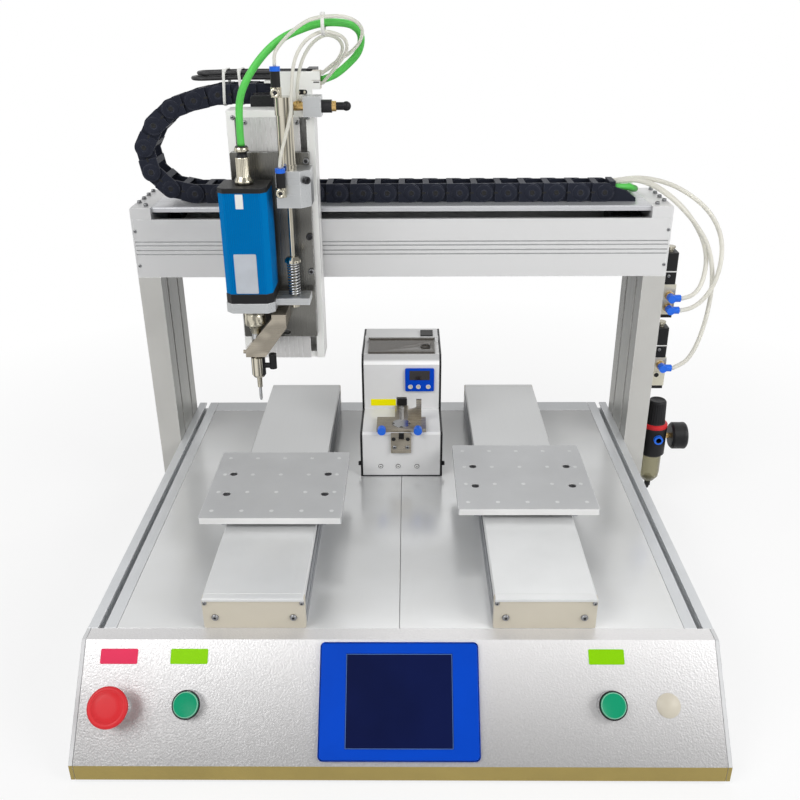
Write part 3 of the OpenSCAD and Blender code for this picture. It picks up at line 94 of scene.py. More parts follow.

# %% [markdown]
# Effects that several finishes share are shader groups with named sockets: cloudy patches, brushed lines, fine
# grain, worn edges, settled dust, painted reflections (the dark bands that polished metal mirrors) and a painted
# ramp of light and shade along a large plate. Each puts out one mask.
# A texture painted by hand would also work, but these masks need no unwrapping and stay sharp close up.

# %% Shared effects
def new_group(name, output, **inputs):
    """An empty shader group: a tuple makes a vector input, a number a plain one; the output is one mask."""
    group = bpy.data.node_groups.new(name, "ShaderNodeTree")
    for label, value in inputs.items():
        kind = "NodeSocketVector" if isinstance(value, tuple) else "NodeSocketFloat"
        group.interface.new_socket(label, in_out="INPUT", socket_type=kind).default_value = value
    group.interface.new_socket(output, in_out="OUTPUT", socket_type="NodeSocketFloat")
    return group, group.nodes.new("NodeGroupInput").outputs, group.nodes.new("NodeGroupOutput").inputs[0]


def add(tree, kind, **settings):
    """A node with its settings; a setting that names an input socket sets that socket's value."""
    node = tree.nodes.new(kind)
    for key, value in settings.items():
        if key in node.inputs:
            node.inputs[key].default_value = value
        else:
            setattr(node, key, value)
    return node


def feed(tree, socket, value):
    """Gives an input socket a number or a colour, or links it to another node's output."""
    if isinstance(value, (int, float, tuple)):
        socket.default_value = value
    else:
        tree.links.new(value, socket)


def spread(tree, value, low, high, to_low=0.0, to_high=1.0):
    """A map range from low..high to to_low..to_high; gives its output socket."""
    ranged = add(tree, "ShaderNodeMapRange")
    for socket, given in zip(ranged.inputs, (value, low, high, to_low, to_high)):
        feed(tree, socket, given)
    return ranged.outputs[0]


def times(tree, a, b, operation="MULTIPLY"):
    """Two values multiplied, or joined by another operation."""
    node = add(tree, "ShaderNodeMath", operation=operation)
    for socket, value in zip(node.inputs, (a, b)):
        feed(tree, socket, value)
    return node.outputs[0]


def vectors(tree, operation, *values):
    """Vectors joined by an operation; gives a number for a dot product or a length, else a vector."""
    node = add(tree, "ShaderNodeVectorMath", operation=operation)
    for socket, value in zip(node.inputs, values):
        feed(tree, socket, value)
    return node.outputs["Value" if operation in ("DOT_PRODUCT", "LENGTH") else "Vector"]


def place_in(tree):
    return add(tree, "ShaderNodeTexCoord").outputs["Object"]


def normal_in(tree):
    return add(tree, "ShaderNodeNewGeometry").outputs["Normal"]


def noise(tree, scale, low, high, detail=3.0, vector=None):
    """Noise at a scale given by a socket or a number, spread from low..high to 0..1."""
    texture = add(tree, "ShaderNodeTexNoise", Detail=detail)
    feed(tree, texture.inputs["Vector"], vector or place_in(tree))
    feed(tree, texture.inputs["Scale"], scale)
    return spread(tree, texture.outputs["Fac"], low, high)


patches, given, mask = new_group("Cloudy patches", "Patches", Scale=14.0)
feed(patches, mask, noise(patches, given["Scale"], 0.36, 0.64))

brushed, given, mask = new_group("Brushed lines", "Lines", Stretch=(8.0, 900.0, 900.0))
stretched = vectors(brushed, "MULTIPLY", place_in(brushed), given["Stretch"])
feed(brushed, mask, noise(brushed, 1.0, 0.3, 0.7, 2.0, stretched))

grain, given, mask = new_group("Fine grain", "Grain", Scale=900.0)
feed(grain, mask, noise(grain, given["Scale"], 0.3, 0.7, 4.0))

worn, given, mask = new_group("Worn edges", "Edge", Width=0.0012)
round_normal = add(worn, "ShaderNodeBevel", samples=4)
feed(worn, round_normal.inputs["Radius"], given["Width"])
rim = spread(worn, vectors(worn, "DOT_PRODUCT", round_normal.outputs[0], normal_in(worn)), 0.995, 0.9)
feed(worn, mask, times(worn, rim, noise(worn, 130.0, 0.35, 0.6)))

dust, given, mask = new_group("Settled dust", "Dust", Cover=0.2)
split = add(dust, "ShaderNodeSeparateXYZ")
feed(dust, split.inputs[0], normal_in(dust))
lying = times(dust, spread(dust, split.outputs["Z"], 0.6, 1.0), noise(dust, 26.0, 0.4, 0.75, 5.0))
feed(dust, mask, times(dust, lying, given["Cover"]))

# Painted reflection: dark bands, set by place and facing, that stand in for what polished metal mirrors.
reflection_bands, given, mask = new_group("Painted reflection bands", "Bands", Stretch=(1.7, 1.7, 0.7), Drift=(0.0, 0.0, 0.0))
turned_to = vectors(reflection_bands, "MULTIPLY", normal_in(reflection_bands), given["Stretch"])
moved_to = vectors(reflection_bands, "MULTIPLY_ADD", place_in(reflection_bands), given["Drift"], turned_to)
feed(reflection_bands, mask, noise(reflection_bands, 1.35, 0.44, 0.56, 1.0, moved_to))

# Painted light and shade: a smooth ramp along a direction, lighter or darker where the light falls differently.
painted_light_ramp, given, mask = new_group("Painted light ramp", "Amount", Direction=(0.0, 1.0, 0.0), Start=0.0, End=0.3)
reach = vectors(painted_light_ramp, "DOT_PRODUCT", place_in(painted_light_ramp), given["Direction"])
ramp = add(painted_light_ramp, "ShaderNodeMapRange", interpolation_type="SMOOTHSTEP")
for label, value in (("Value", reach), ("From Min", given["Start"]), ("From Max", given["End"])):
    feed(painted_light_ramp, ramp.inputs[label], value)
feed(painted_light_ramp, mask, ramp.outputs[0])
print("groups:", [g.name for g in bpy.data.node_groups])

# %% [markdown]
# Every finish is one Principled shader. Two near shades are mixed by the cloudy patches, so no surface is
# one flat colour; brushed lines or grain drive the bump and the roughness; edges lose paint or shine.
# One function could hide too much, so it takes the few numbers in which the machine's finishes differ.

# %% Finishes
COAT_ROUGH, BUMP_DEPTH = 0.12, 0.0004
# The second number is the shade of the painted reflection bands.
SPECKLE_SHADE, REFLECTION_SHADE = 0.55, 0.16
DUST = (196, 192, 184)


def shade(colour):
    """A colour as read from the photograph (0 to 255, one number for a grey), as linear light."""
    parts = [c / 255 for c in (colour if isinstance(colour, tuple) else (colour,) * 3)]
    return tuple(c / 12.92 if c <= 0.04045 else ((c + 0.055) / 1.055) ** 2.4 for c in parts) + (1.0,)


def tinted(colour, factor):
    """The same colour a little darker or lighter."""
    return tuple(min(1.0, c * factor) for c in colour[:3]) + (1.0,)


def blend_colour(tree, mask, a, b):
    """A colour that goes from a to b with the mask; a may be a socket."""
    mix = add(tree, "ShaderNodeMix", data_type="RGBA")
    for index, value in ((0, mask), (6, a), (7, b)):
        feed(tree, mix.inputs[index], value)
    return mix.outputs[2]


def effect(tree, group, **values):
    """One of the shared groups in a material, with its own values; gives its mask."""
    return add(tree, "ShaderNodeGroup", node_tree=group, **values).outputs[0]


finishes = {}


def finish(name, colour, rough, metal, vary, texture=None, bump=0.1, patch=14.0, speckle=0.0, edge=None, dusty=0.0,
           coat=0.0, swing=0.06, gloss=0.4, mirror=0.0, drift=(0.0, 0.0, 0.0), change=None):
    """A finish named for its place; its texture is a brushed direction, the scale of a grain, or nothing."""
    material = bpy.data.materials.new(name)
    material.use_nodes = True
    tree = material.node_tree
    shader = tree.nodes["Principled BSDF"]
    colour = shade(colour)
    surface = effect(tree, patches, Scale=patch)
    base = blend_colour(tree, surface, tinted(colour, 1 - vary), tinted(colour, 1 + vary))
    if texture:
        brush = isinstance(texture, tuple)
        surface = effect(tree, brushed, Stretch=texture) if brush else effect(tree, grain, Scale=texture)
        height = add(tree, "ShaderNodeBump", Strength=bump, Distance=BUMP_DEPTH)
        feed(tree, height.inputs["Height"], surface)
        feed(tree, shader.inputs["Normal"], height.outputs[0])
        if speckle:
            base = blend_colour(tree, times(tree, surface, speckle), base, tinted(colour, SPECKLE_SHADE))
    # Painted reflection: dark bands of polished metal, painted into the base colour.
    if mirror:
        reflected_band = times(tree, effect(tree, reflection_bands, Drift=drift), mirror)
        base = blend_colour(tree, reflected_band, base, tinted(colour, REFLECTION_SHADE))
    # Painted light and shade: the base colour grows lighter or darker along a direction, as the light falls across the
    # surface.
    if change:
        way, start, end, factor = change
        amount = effect(tree, painted_light_ramp, Direction=way, Start=start, End=end)
        base = blend_colour(tree, amount, base, tinted(colour, factor))
    if edge:
        base = blend_colour(tree, effect(tree, worn), base, shade(edge))
    if dusty:
        base = blend_colour(tree, effect(tree, dust, Cover=dusty), base, shade(DUST))
    inputs = {"Metallic": metal, "Specular IOR Level": gloss, "Base Color": base,
              "Roughness": spread(tree, surface, 0.0, 1.0, rough - swing, rough + swing)}
    if coat:
        inputs.update({"Coat Weight": coat, "Coat Roughness": COAT_ROUGH})
    for label, value in inputs.items():
        feed(tree, shader.inputs[label], value)
    finishes[name] = material
    return shader


ALONG_X, ALONG_Y, ALONG_Z = (9.0, 1100.0, 1100.0), (1100.0, 9.0, 1100.0), (1100.0, 1100.0, 9.0)
# Columns: name, shade, roughness, metal, variation of the shade, texture, height of the bump; then what is special
# In these rows, change= paints a ramp of light and shade, and mirror= paints reflection bands.
finish("tray_paint", (208, 209, 210), 0.42, 0, 0.03, 1500, 0.06, edge=150, dusty=0.1)
# Painted shade: the base rails darker towards the rear.
finish("frame_alu", (206, 208, 210), 0.38, 0.55, 0.04, ALONG_Y, 0.08, edge=240, change=((0, 1, 0), 0.2, 0.31, 0.66))
# Painted shade and reflection: the deck darker towards the rear, under the gantry and the feeder.
finish("deck_alu", (222, 223, 223), 0.2, 0.3, 0.03, ALONG_X, 0.012, patch=5, dusty=0.1, swing=0.03,
       change=((0, 1, 0), 0.05, 0.3, 0.52))
# Painted highlight: the console's sheet much lighter towards its upper left, where the sheen lies.
finish("console_alu", (158, 157, 157), 0.36, 0.4, 0.04, 520, 0.38, speckle=0.5,
       change=((0.035, 0.686, 0.7276), -0.254, 0.031, 2.6))
finish("lip_gold", (160, 141, 76), 0.36, 0.25, 0.06, ALONG_X, 0.05)
finish("rubber", (34, 34, 35), 0.75, 0, 0.15, 2200, 0.3, dusty=0.25)
finish("electronics", (84, 88, 94), 0.55, 0, 0.08, 1200)
finish("black_plastic", (24, 24, 26), 0.42, 0, 0.12, 2600, 0.16, gloss=0.22, edge=(74, 74, 76), dusty=0.05)
finish("chain_plastic", (33, 36, 47), 0.5, 0, 0.1, 1700, 0.15, edge=(78, 80, 90), dusty=0.02, gloss=0.12)
finish("blue_plastic", (0, 68, 190), 0.4, 0, 0.05, 2600, 0.06, gloss=0.08)
finish("screen", (8, 18, 60), 0.34, 0, 0.2, patch=9, swing=0.05, gloss=0.06)
finish("screen_rim", (88, 122, 182), 0.4, 0, 0.05, 2400, 0.04, gloss=0.1)
finish("panel_metal", (214, 215, 216), 0.2, 0.9, 0.05, ALONG_X, 0.03, mirror=0.5)
# Painted shade: the table covers darker towards the rear.
finish("module_alu", (220, 221, 221), 0.36, 0.3, 0.03, ALONG_Y, 0.06, change=((0, 1, 0), -0.15, 0.2, 0.74))
# Painted shade: a darker grey for the table modules' side walls, which lie in shade.
finish("module_side_painted_shade", (150, 152, 156), 0.42, 0.5, 0.06, ALONG_Y, 0.09)
finish("beam_cover", (196, 197, 200), 0.3, 0.5, 0.03, ALONG_X, 0.07, edge=245)
finish("cream_paint", (202, 195, 179), 0.4, 0, 0.03, 1800, 0.06, edge=(196, 190, 176))
finish("steel", (176, 179, 183), 0.26, 1, 0.06, ALONG_X, 0.06)
finish("steel_turned", (200, 201, 202), 0.18, 1, 0.05, (900, 900, 700), 0.04, mirror=0.6)
finish("motor_paint", (26, 26, 29), 0.3, 0, 0.12, 1500, 0.08, gloss=0.3, edge=(90, 90, 92))
# Painted light: the beam's housing lighter from its left end towards the middle.
finish("white_alu", 208, 0.38, 0.22, 0.025, ALONG_X, 0.06, edge=246, change=((1, 0, 0), -0.3, 0, 1.1))
finish("column_alu", (192, 191, 187), 0.38, 0.3, 0.03, ALONG_Z, 0.07, edge=244)
# Painted shade: a darker copy of the column finish for the inner faces, darker again towards the top.
finish("column_side_painted_shade", (152, 152, 147), 0.36, 0.4, 0.04, ALONG_Z, 0.07, edge=(230, 230, 228),
       change=((0, 0, 1), 0.12, 0.34, 0.5))
finish("lift_alu", (212, 211, 210), 0.36, 0.22, 0.03, ALONG_Z, 0.06, edge=248)
# Painted light: a lighter copy of lift_alu for faces that the light falls on more strongly.
finish("lift_alu_painted_light", (246, 246, 243), 0.34, 0.15, 0.02, ALONG_Z, 0.05, edge=250)
finish("bracket_alu", (184, 186, 187), 0.32, 0.75, 0.05, ALONG_X, 0.08, edge=240)
finish("plate_edge", (234, 234, 233), 0.42, 0, 0.03, ALONG_X, 0.05)
finish("plate_alu", (190, 191, 192), 0.5, 0.45, 0.04, 1300, 0.16, edge=236)
finish("head_steel", (114, 113, 109), 0.24, 0.8, 0.07, ALONG_Z, 0.06, edge=214, mirror=0.6, drift=(5, 0, 12))
finish("feeder_paint", 222, 0.38, 0, 0.03, 1500, 0.05, edge=190)
# Painted highlight: a near-white copy of the feeder's paint for its front chamfer, greyer on the chamfer's upper part.
finish("feeder_chamfer_highlight", 250, 0.3, 0, 0.02, 1500, 0.04, change=((0, 0, 1), 0.2455, 0.2495, 0.5))
finish("red_plastic", (206, 40, 46), 0.4, 0, 0.05, 2600, 0.05, gloss=0.25)
finish("green_plastic", (18, 149, 107), 0.3, 0, 0.06, 2600, 0.04, gloss=0.12)
finish("driver_blue", (0, 116, 184), 0.36, 0, 0.015, ALONG_Z, 0.01, patch=2, gloss=0.02, swing=0.02)
finish("nickel", (204, 198, 180), 0.2, 1, 0.07, 900, 0.04, mirror=0.7)
finish("chrome", (208, 202, 186), 0.12, 1, 0.1, ALONG_Z, 0.02, swing=0.03, mirror=0.86)
finish("brass", (206, 172, 112), 0.26, 1, 0.08, 900, 0.05, mirror=0.4)
finish("valve_alu", (204, 200, 182), 0.34, 0.6, 0.05, ALONG_X, 0.06, edge=(240, 238, 228))
finish("ring_blue", (30, 104, 222), 0.3, 0, 0.06, 2400, gloss=0.3)
finish("screw_steel", (150, 151, 153), 0.3, 0.95, 0.1, 1600, 0.06, patch=240, mirror=0.4)
# Real black-oxide screws, and painted shade in the sockets and recesses of bright heads.
finish("black_oxide_and_recess_shade", (52, 52, 54), 0.36, 0.7, 0.14, 1600, 0.08, patch=240)
finish("tie_white", (226, 226, 222), 0.4, 0, 0.04, 1800)
finish("plate_red", (228, 52, 92), 0.4, 0, 0.04, 1500, gloss=0.12)
finish("plate_lime", (136, 206, 0), 0.4, 0, 0.04, 1500, gloss=0.1)
finish("plate_yellow", (246, 236, 0), 0.4, 0, 0.04, 1500, gloss=0.1)
finish("label_grey", (182, 187, 194), 0.42, 0, 0.04, 1500, patch=60)
# Painted shade: a darker grey for the faces inside the beam's grooves.
finish("groove_painted_shade", (176, 177, 178), 0.42, 0.3, 0.05, ALONG_X, 0.05)
finish("plate_white", (226, 226, 224), 0.42, 0, 0.03, 1500)
finish("green_rim", (120, 190, 160), 0.3, 0, 0.05, 2400)
finish("dispenser_steel", (172, 164, 150), 0.3, 0.75, 0.07, ALONG_X, 0.06, mirror=0.35, drift=(22, 22, 30))
# Painted shade: near-black for holes, bores and slot openings.
finish("hole_painted_shade", (16, 16, 17), 0.7, 0, 0.2, patch=200)
finish("display_window", (26, 20, 24), 0.14, 0, 0.2, patch=60, coat=0.5, swing=0.03)
finish("cable_green", (84, 196, 80), 0.42, 0, 0.07, 2200, patch=60)
finish("cable_black", (28, 28, 30), 0.4, 0, 0.16, 2200, patch=60)
print("finishes:", len(finishes))

# %% [markdown]
# Four finishes let light through: the smoked lid, the bowl, the gauge's glass and the polyurethane tubes. Glass in
# Blender is the Principled shader with Transmission; a plain Metallic and Transmission Weight keep it exportable.
# The tubes scatter light, so they stay mostly opaque with a little transmission and a milky shade.

# %% Clear finishes
def clear(name, colour, through, rough, alpha):
    """A see-through finish: its shade varies a little, and alpha says how much it hides."""
    shader = finish(name, colour, rough, 0, 0.05, 1400, 0.03, patch=30, swing=0.03)
    for label, value in (("Transmission Weight", through), ("IOR", 1.45), ("Alpha", alpha)):
        shader.inputs[label].default_value = value


clear("lid_clear", (96, 90, 82), 0.3, 0.14, 0.9)
clear("bowl_clear", (150, 144, 108), 0.5, 0.12, 0.85)
clear("tube_clear", (234, 232, 222), 0.25, 0.3, 0.9)
clear("dial_glass", (240, 242, 242), 0.9, 0.04, 0.25)
print("clear:", [m for m in finishes if "clear" in m or "glass" in m])

# %% [markdown]
# A cord is a fixed length of something flexible, so each one is drawn along its own route: straight out of its
# fitting, then one smooth curve. The points are those of the CAD solids, in mm. A bevelled curve would be quicker;
# here each cord is a mesh tube.

# %% Routes of the cords
CHAIN_Y = 241.2


def folded(half):
    """A lead that runs out along the chain, turns and comes back on the other side of its middle."""
    return half + [(x, 2 * CHAIN_Y - y, z) for x, y, z in half[-2::-1]]


green_route = [
    (-184, 96.5, 547), (-184, 96.5, 550), (-184, 96.5, 565), (-182, 97.4, 595), (-173, 99.4, 617.9),
    (-154, 102.4, 642.9), (-132, 106.3, 660.9), (-106, 111.3, 671.9), (-85, 116.3, 676.9), (-67, 123.2, 676.9),
    (-54, 133.2, 673.8), (-46, 144.2, 665.8), (-45, 154.1, 654.8), (-50, 162.1, 641.8), (-63, 165.1, 628.8),
    (-77, 163, 618.7), (-91, 158, 613.7), (-94, 158, 613.7)]
air_routes = [[
    (-140, 99.5, 633), (-140, 99.5, 636), (-138, 98.5, 648), (-127, 97.4, 660.9), (-114, 97.4, 671.9),
    (-98, 99.3, 680.8), (-81, 102.3, 683.8), (-63, 107.2, 683.8), (-49, 115.2, 678.7), (-42, 125.2, 668.7),
    (-46, 134.1, 655.6), (-57, 141.1, 644.6), (-75, 147, 633.6), (-91, 150, 621.5), (-94, 150, 621.5)], [
    (-139, 85.5, 523), (-139, 85.5, 526), (-137, 85.5, 538), (-131, 87.4, 557.9), (-124, 90.4, 581.9),
    (-122, 93.4, 605.9), (-119, 96.3, 630.8), (-113, 99.3, 647.8), (-102, 102.2, 660.8), (-88, 107.2, 667.7),
    (-74, 114.2, 666.7), (-63, 122.1, 660.7), (-60, 130.1, 650.6), (-66, 138.1, 638.6), (-79, 144, 623.6),
    (-91, 150, 610.5), (-94, 150, 610.5)], [
    (-120, 134.5, 592), (-120, 134.5, 595), (-120, 134.3, 604.9), (-116, 133.2, 626.7), (-108, 132, 644.6),
    (-97, 133.9, 657.4), (-84, 139.8, 663.3), (-72, 147.6, 659.1), (-67, 155.5, 650), (-71, 162.3, 638.8),
    (-80, 165.2, 628.7), (-91, 164, 621.5), (-94, 164, 621.5)]]
lead_routes = [folded([
    (-118, 226.2, 610), (-121, 226.2, 610), (-136, 226.2, 610), (-170, 226.2, 610), (-210, 226.2, 610),
    (-238, 226.2, 609.3), (-250, 226.2, 609), (-257.5, 228.2, 609), (-263, 233.7, 609), (-265, 241.2, 609)]), folded([
    (-118, 227.2, 616), (-121, 227.2, 616), (-136, 227.2, 616), (-170, 227.2, 616), (-205, 227.2, 616),
    (-232, 227.2, 615.3), (-243, 227.2, 615), (-250, 229.1, 615), (-255.1, 234.2, 615), (-257, 241.2, 615)])]
hose_routes = [[
    (284, 251, 475.1), (287, 251, 475.1), (301, 251, 477), (316, 250.5, 478.5), (334, 248, 477.5), (355, 244, 473),
    (377, 240, 464), (403, 234, 447), (421, 227, 427), (431, 219, 404), (432.5, 210.5, 380), (428.5, 204, 357),
    (420.5, 200, 337), (409, 198.2, 321), (396, 197.6, 312), (383.5, 197.5, 309), (380.5, 197.5, 309)], [
    (284, 244.8, 475.1), (287, 244.8, 475.1), (301, 244.5, 476.5), (316, 243, 477), (333, 240, 473.5),
    (352, 236, 463.5), (370, 232, 450), (387, 228.5, 433), (402, 225, 412), (411, 221.5, 393), (414.5, 217, 375),
    (413, 211, 357), (407, 204, 341), (397, 199, 330.5), (383.5, 197.5, 326), (380.5, 197.5, 326)], [
    (284, 238.6, 475.6), (287, 238.6, 475.6), (301, 237.8, 477.5), (316, 236, 477.5), (333, 231.5, 472.5),
    (352, 226, 462), (372, 221, 446), (393, 216, 424), (411, 213, 398), (421.5, 212, 369), (425.5, 211, 339),
    (424.5, 208.5, 309), (420, 205, 281), (412, 201, 254), (400.5, 198.5, 234), (383.5, 197.5, 223),
    (380.5, 197.5, 223)]]
stub_route = [
    (284, 232.5, 470.1), (287, 232.5, 470.1), (296.2, 234.1, 469.9), (305.4, 238.8, 468.6), (312.7, 246.1, 466),
    (317.4, 255.3, 463.2), (319, 265.5, 460.8), (319, 275, 459), (319, 284, 458.5), (319, 293, 458.5),
    (319, 296, 458.5)]
print("route points:", len(green_route), [len(r) for r in air_routes + lead_routes + hose_routes], len(stub_route))

# %% [markdown]
# A tube is a row of rings along a smooth line. Each ring turns as little as it can from the one before, so the tube
# doesn't twist, and both ends are closed. Each cord hides the CAD solid that it stands for.

# %% Tube along a route
STEPS = 5


def smoothed(points):
    """A curve through points in mm; the first and last stretch stay straight, as out of a fitting."""
    spots = [Vector([c * MM for c in p]) for p in points]
    inner = spots[1:-1]
    last = len(inner) - 1
    line = spots[:1]
    for i in range(last):
        a, b, c, d = inner[max(i - 1, 0)], inner[i], inner[i + 1], inner[min(i + 2, last)]
        for k in range(STEPS):
            t = k / STEPS
            line.append(0.5 * (2 * b + (c - a) * t + (2 * a - 5 * b + 4 * c - d) * t * t
                               + (3 * b - a - 3 * c + d) * t ** 3))
    return line + [inner[last], spots[-1]]


def circle(x, y, radius, z_of, steps, count):
    """Points in metres on a circle or a helix around an upright axis; z_of gives the height at a point's number."""
    turns = [math.tau * k / steps for k in range(count)]
    return [Vector((x + radius * math.cos(t), y + radius * math.sin(t), z_of(k))) * MM for k, t in enumerate(turns)]


def new_piece(name, bm, materials):
    """A mesh object from bmesh geometry, with its finishes."""
    mesh = bpy.data.meshes.new(name)
    bm.to_mesh(mesh)
    bm.free()
    for label in materials:
        mesh.materials.append(finishes[label])
    return put(name, mesh)


def join_loops(bm, a, b):
    """The faces between two closed loops of points."""
    count = len(a)
    return [bm.faces.new((a[k], a[(k + 1) % count], b[(k + 1) % count], b[k])) for k in range(count)]


def tube(name, line, diameter, material, sides=18):
    """A round tube swept along the line without twist, closed at both ends."""
    bm = bmesh.new()
    side = Vector((0.3, 1.0, 0.2))
    turns = [math.tau * k / sides for k in range(sides)]
    rings = []
    for i, point in enumerate(line):
        way = (line[min(i + 1, len(line) - 1)] - line[max(i - 1, 0)]).normalized()
        side = (side - way * side.dot(way)).normalized()
        other = way.cross(side)
        rings.append([bm.verts.new(point + diameter / 2 * (math.cos(t) * side + math.sin(t) * other)) for t in turns])
    for a, b in zip(rings, rings[1:]):
        for face in join_loops(bm, a, b):
            face.smooth = True
    bm.faces.new(rings[0][::-1])
    bm.faces.new(rings[-1])
    return new_piece(name, bm, [material])


def lay_cord(node):
    """Hides the CAD solid that a cord stands for."""
    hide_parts(node)


print("rings along the green cable:", len(smoothed(green_route)))

# %% [markdown]
# The green cable feeds the screwdriver, which slides on the head, which slides on the cross carriage. A piece can
# bend across one joint only, so the cable is two pieces that meet under the tie at the top of its loop:
# the rising part follows the screwdriver and the head, the returning part the head and the carriage.

# %% Green cable
GREEN = 0.0085
TIE_AT = 8
whole = smoothed(green_route)
cut = 1 + STEPS * (TIE_AT - 1)
rising, returning = whole[:cut + 1], whole[cut:]
green_rising = tube("green_cable_rising", rising, GREEN, "cable_green")
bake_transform(green_rising)
green_returning = tube("green_cable_returning", returning, GREEN, "cable_green")
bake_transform(green_returning)
lay_cord("green_cable")
lay_cord("green_cable")

# %% [markdown]
# Three clear air tubes share that loop. Two come from the cylinder's speed controllers; the third comes from the
# vacuum ejector and stays with the carriage. The folded black leads lie on the end of the cable chain. Three hoses
# leave the chain's comb for the valves, and the green cable ends beside them.

# %% Air tubes, leads and hoses
AIR, LEAD, HOSE = 0.004, 0.005, 0.006
for number, points in enumerate(air_routes, 1):
    line = smoothed(points)
    piece = tube(f"air_tube_{number}", line, AIR, "tube_clear", sides=14)
    if number < 3:
        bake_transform(piece)
    else:
        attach(piece, "cross_carriage")
    lay_cord("loop_tubes")
for number, points in enumerate(lead_routes, 1):
    line = smoothed(points)
    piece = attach(tube(f"black_lead_{number}", line, LEAD, "cable_black"), "cross_carriage")
    lay_cord("black_cables")
fixed = [(f"valve_hose_{number}", points, HOSE, "tube_clear") for number, points in enumerate(hose_routes, 1)]
for name, points, across, material in fixed + [("green_cable_end", stub_route, GREEN, "cable_green")]:
    line = smoothed(points)
    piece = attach(tube(name, line, across, material), "machine_base")
    lay_cord("valve_hoses")

# %% [markdown]
# A CAD solid has knife-sharp edges; real sheet, extrusion and castings don't, and the thin bright line along an edge
# is what makes metal look like metal. Each solid is copied, its flat triangles are joined, and a bevel of
# a few tenths of a millimetre eases its edges. A rule picks the finish of each face by its place.

# %% Solids with eased edges
MERGE = 2e-6
FLAT, CREASE, BEVEL_FROM = (math.radians(angle) for angle in (0.5, 26, 35))


def joined_copy(node):
    """The CAD solid's mesh with doubled points merged and flat triangles joined."""
    bm = bmesh.new()
    bm.from_mesh(nodes[node].data)
    bmesh.ops.remove_doubles(bm, verts=bm.verts[:], dist=MERGE)
    bmesh.ops.dissolve_limit(bm, angle_limit=FLAT, verts=bm.verts[:], edges=bm.edges[:])
    return bm


def shade_smooth(bm):
    """Smooth shading, apart from sharp edges."""
    bm.normal_update()
    for face in bm.faces:
        face.smooth = True
    for line in bm.edges:
        line.smooth = line.calc_face_angle(0.0) < CREASE


def ease_edges(piece, width, harden=True):
    """Drops the normals that came with the CAD and bevels the edges; the width is in mm."""
    if "custom_normal" in piece.data.attributes:
        piece.data.attributes.remove(piece.data.attributes["custom_normal"])
    bevel = piece.modifiers.new("eased edges", "BEVEL")
    bevel.width = width * MM
    bevel.segments = 2
    bevel.limit_method = "ANGLE"
    bevel.angle_limit = BEVEL_FROM
    bevel.harden_normals = harden


def eased(node, materials, width, pick=None):
    """The CAD solid's copy with eased edges; pick(centre in mm, normal) gives the index of a face's finish."""
    bm = joined_copy(node)
    shade_smooth(bm)
    for face in bm.faces:
        face.material_index = int(pick(face.calc_center_median() / MM, face.normal)) if pick else 0
    piece = new_piece(node + "_eased", bm, materials)
    ease_edges(piece, width)
    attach(piece, body_of_node[node])
    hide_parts(node)


plain = {
    "base_rails": ("frame_alu", 0.4), "deck_plates": ("deck_alu", 0.4), "rubber_feet": ("rubber", 0.5),
    "power_inlet": ("black_plastic", 0.4), "hmi_bezel": ("blue_plastic", 0.8), "hmi_screen": ("screen", 0.2),
    "feeder_side_panels": ("black_plastic", 0.6), "feeder_display": ("blue_plastic", 0.5),
    "feeder_disc": ("steel_turned", 0.2), "y_left_carriage": ("steel", 0.3), "y_right_carriage": ("steel", 0.3),
    "x_carriage": ("bracket_alu", 0.4), "z_cover": ("lift_alu", 0.2), "z_motor": ("motor_paint", 0.6),
    "z_slider": ("steel", 0.3), "head_plate": ("head_steel", 0.5), "driver_body": ("driver_blue", 0.2),
    "driver_caps": ("black_plastic", 0.6), "cylinder_rod": ("chrome", 0.2), "driver_bit": ("steel_turned", 0.2),
    "feeder_lid": ("lid_clear", 0.3), "regulator_bowl": ("bowl_clear", 0.6)}
for node, (material, width) in plain.items():
    eased(node, [material], width)
print("eased solids:", len(plain))

# %% [markdown]
# Some solids join several materials: a fitting has a brass nut, a black body and a blue ring. Cutting the CAD into
# more nodes would make the part heavier to handle, so a small rule reads where each face lies instead.
# The console's slope gets its own measure, the height above the sheet.

# %% Solids with several finishes
UP, FRONT, REAR, RIGHT = (0, 0, 1), (0, -1, 0), (0, 1, 0), (1, 0, 0)
VALVE_FOOT, VALVE_PITCH = 186, 108
slope_way = Vector((0, 82.5, 87.5)).normalized()
slope_out = Vector((0, -slope_way.z, slope_way.y))
slope_foot = Vector((0, -325, 22.5))


def on_slope(x, s, lift=0.0):
    """A point on the console's slope: x across, s up the slope, lift above the sheet."""
    return slope_foot + slope_way * s + slope_out * lift + Vector((x, 0, 0))


def fitting_finish(centre, normal):
    """The panel's fittings: metal rings on the sheet, black above and below them, the cream plug at the right."""
    height = (centre - slope_foot).dot(slope_out)
    return 2 if centre.x > 240 else 1 if -0.1 <= height <= 9.8 else 0


def controller_finish(centre, normal):
    """The two speed controllers on the air cylinder: nickel foot, black body, blue ring; then tube and block."""
    for x, y, z in ((-140, 99.5, 600), (-139, 85.5, 490)):
        up = centre.z - z
        if math.hypot(centre.x - x, centre.y - y) < 6.6 and up > -0.5:
            return 2 if up < 11.1 else 3 if up < 27.9 else 4
    if centre.z > 518.2:
        return 1
    return 2 if centre.y < 92.3 and abs(centre.x + 139) < 4.6 else 0


def ejector_finish(centre, normal):
    """The vacuum ejector from left to right: brass nut, bright body, dark band, brass again and a black end."""
    along = centre.x + 113
    return 2 if along < -0.2 else 0 if along < 21.1 else 1 if along < 33.1 else 2 if along < 38.1 else 3


def outlet_finish(centre, normal):
    """A valve's body, its black foot, and the elbows in front of it: brass nut, then blue body and arm."""
    if centre.y < 208.4:
        return 1 if centre.y > 202.9 else 3
    return 2 if (centre.z - VALVE_FOOT) % VALVE_PITCH < 5 else 0


def button_finish(centre, normal):
    """The paler rim of a start button's cap."""
    across = centre - slope_foot - slope_way * 57
    return normal.dot(slope_out) > 0.5 and math.hypot(abs(across.x) - 211, across.dot(slope_way)) > 11.4


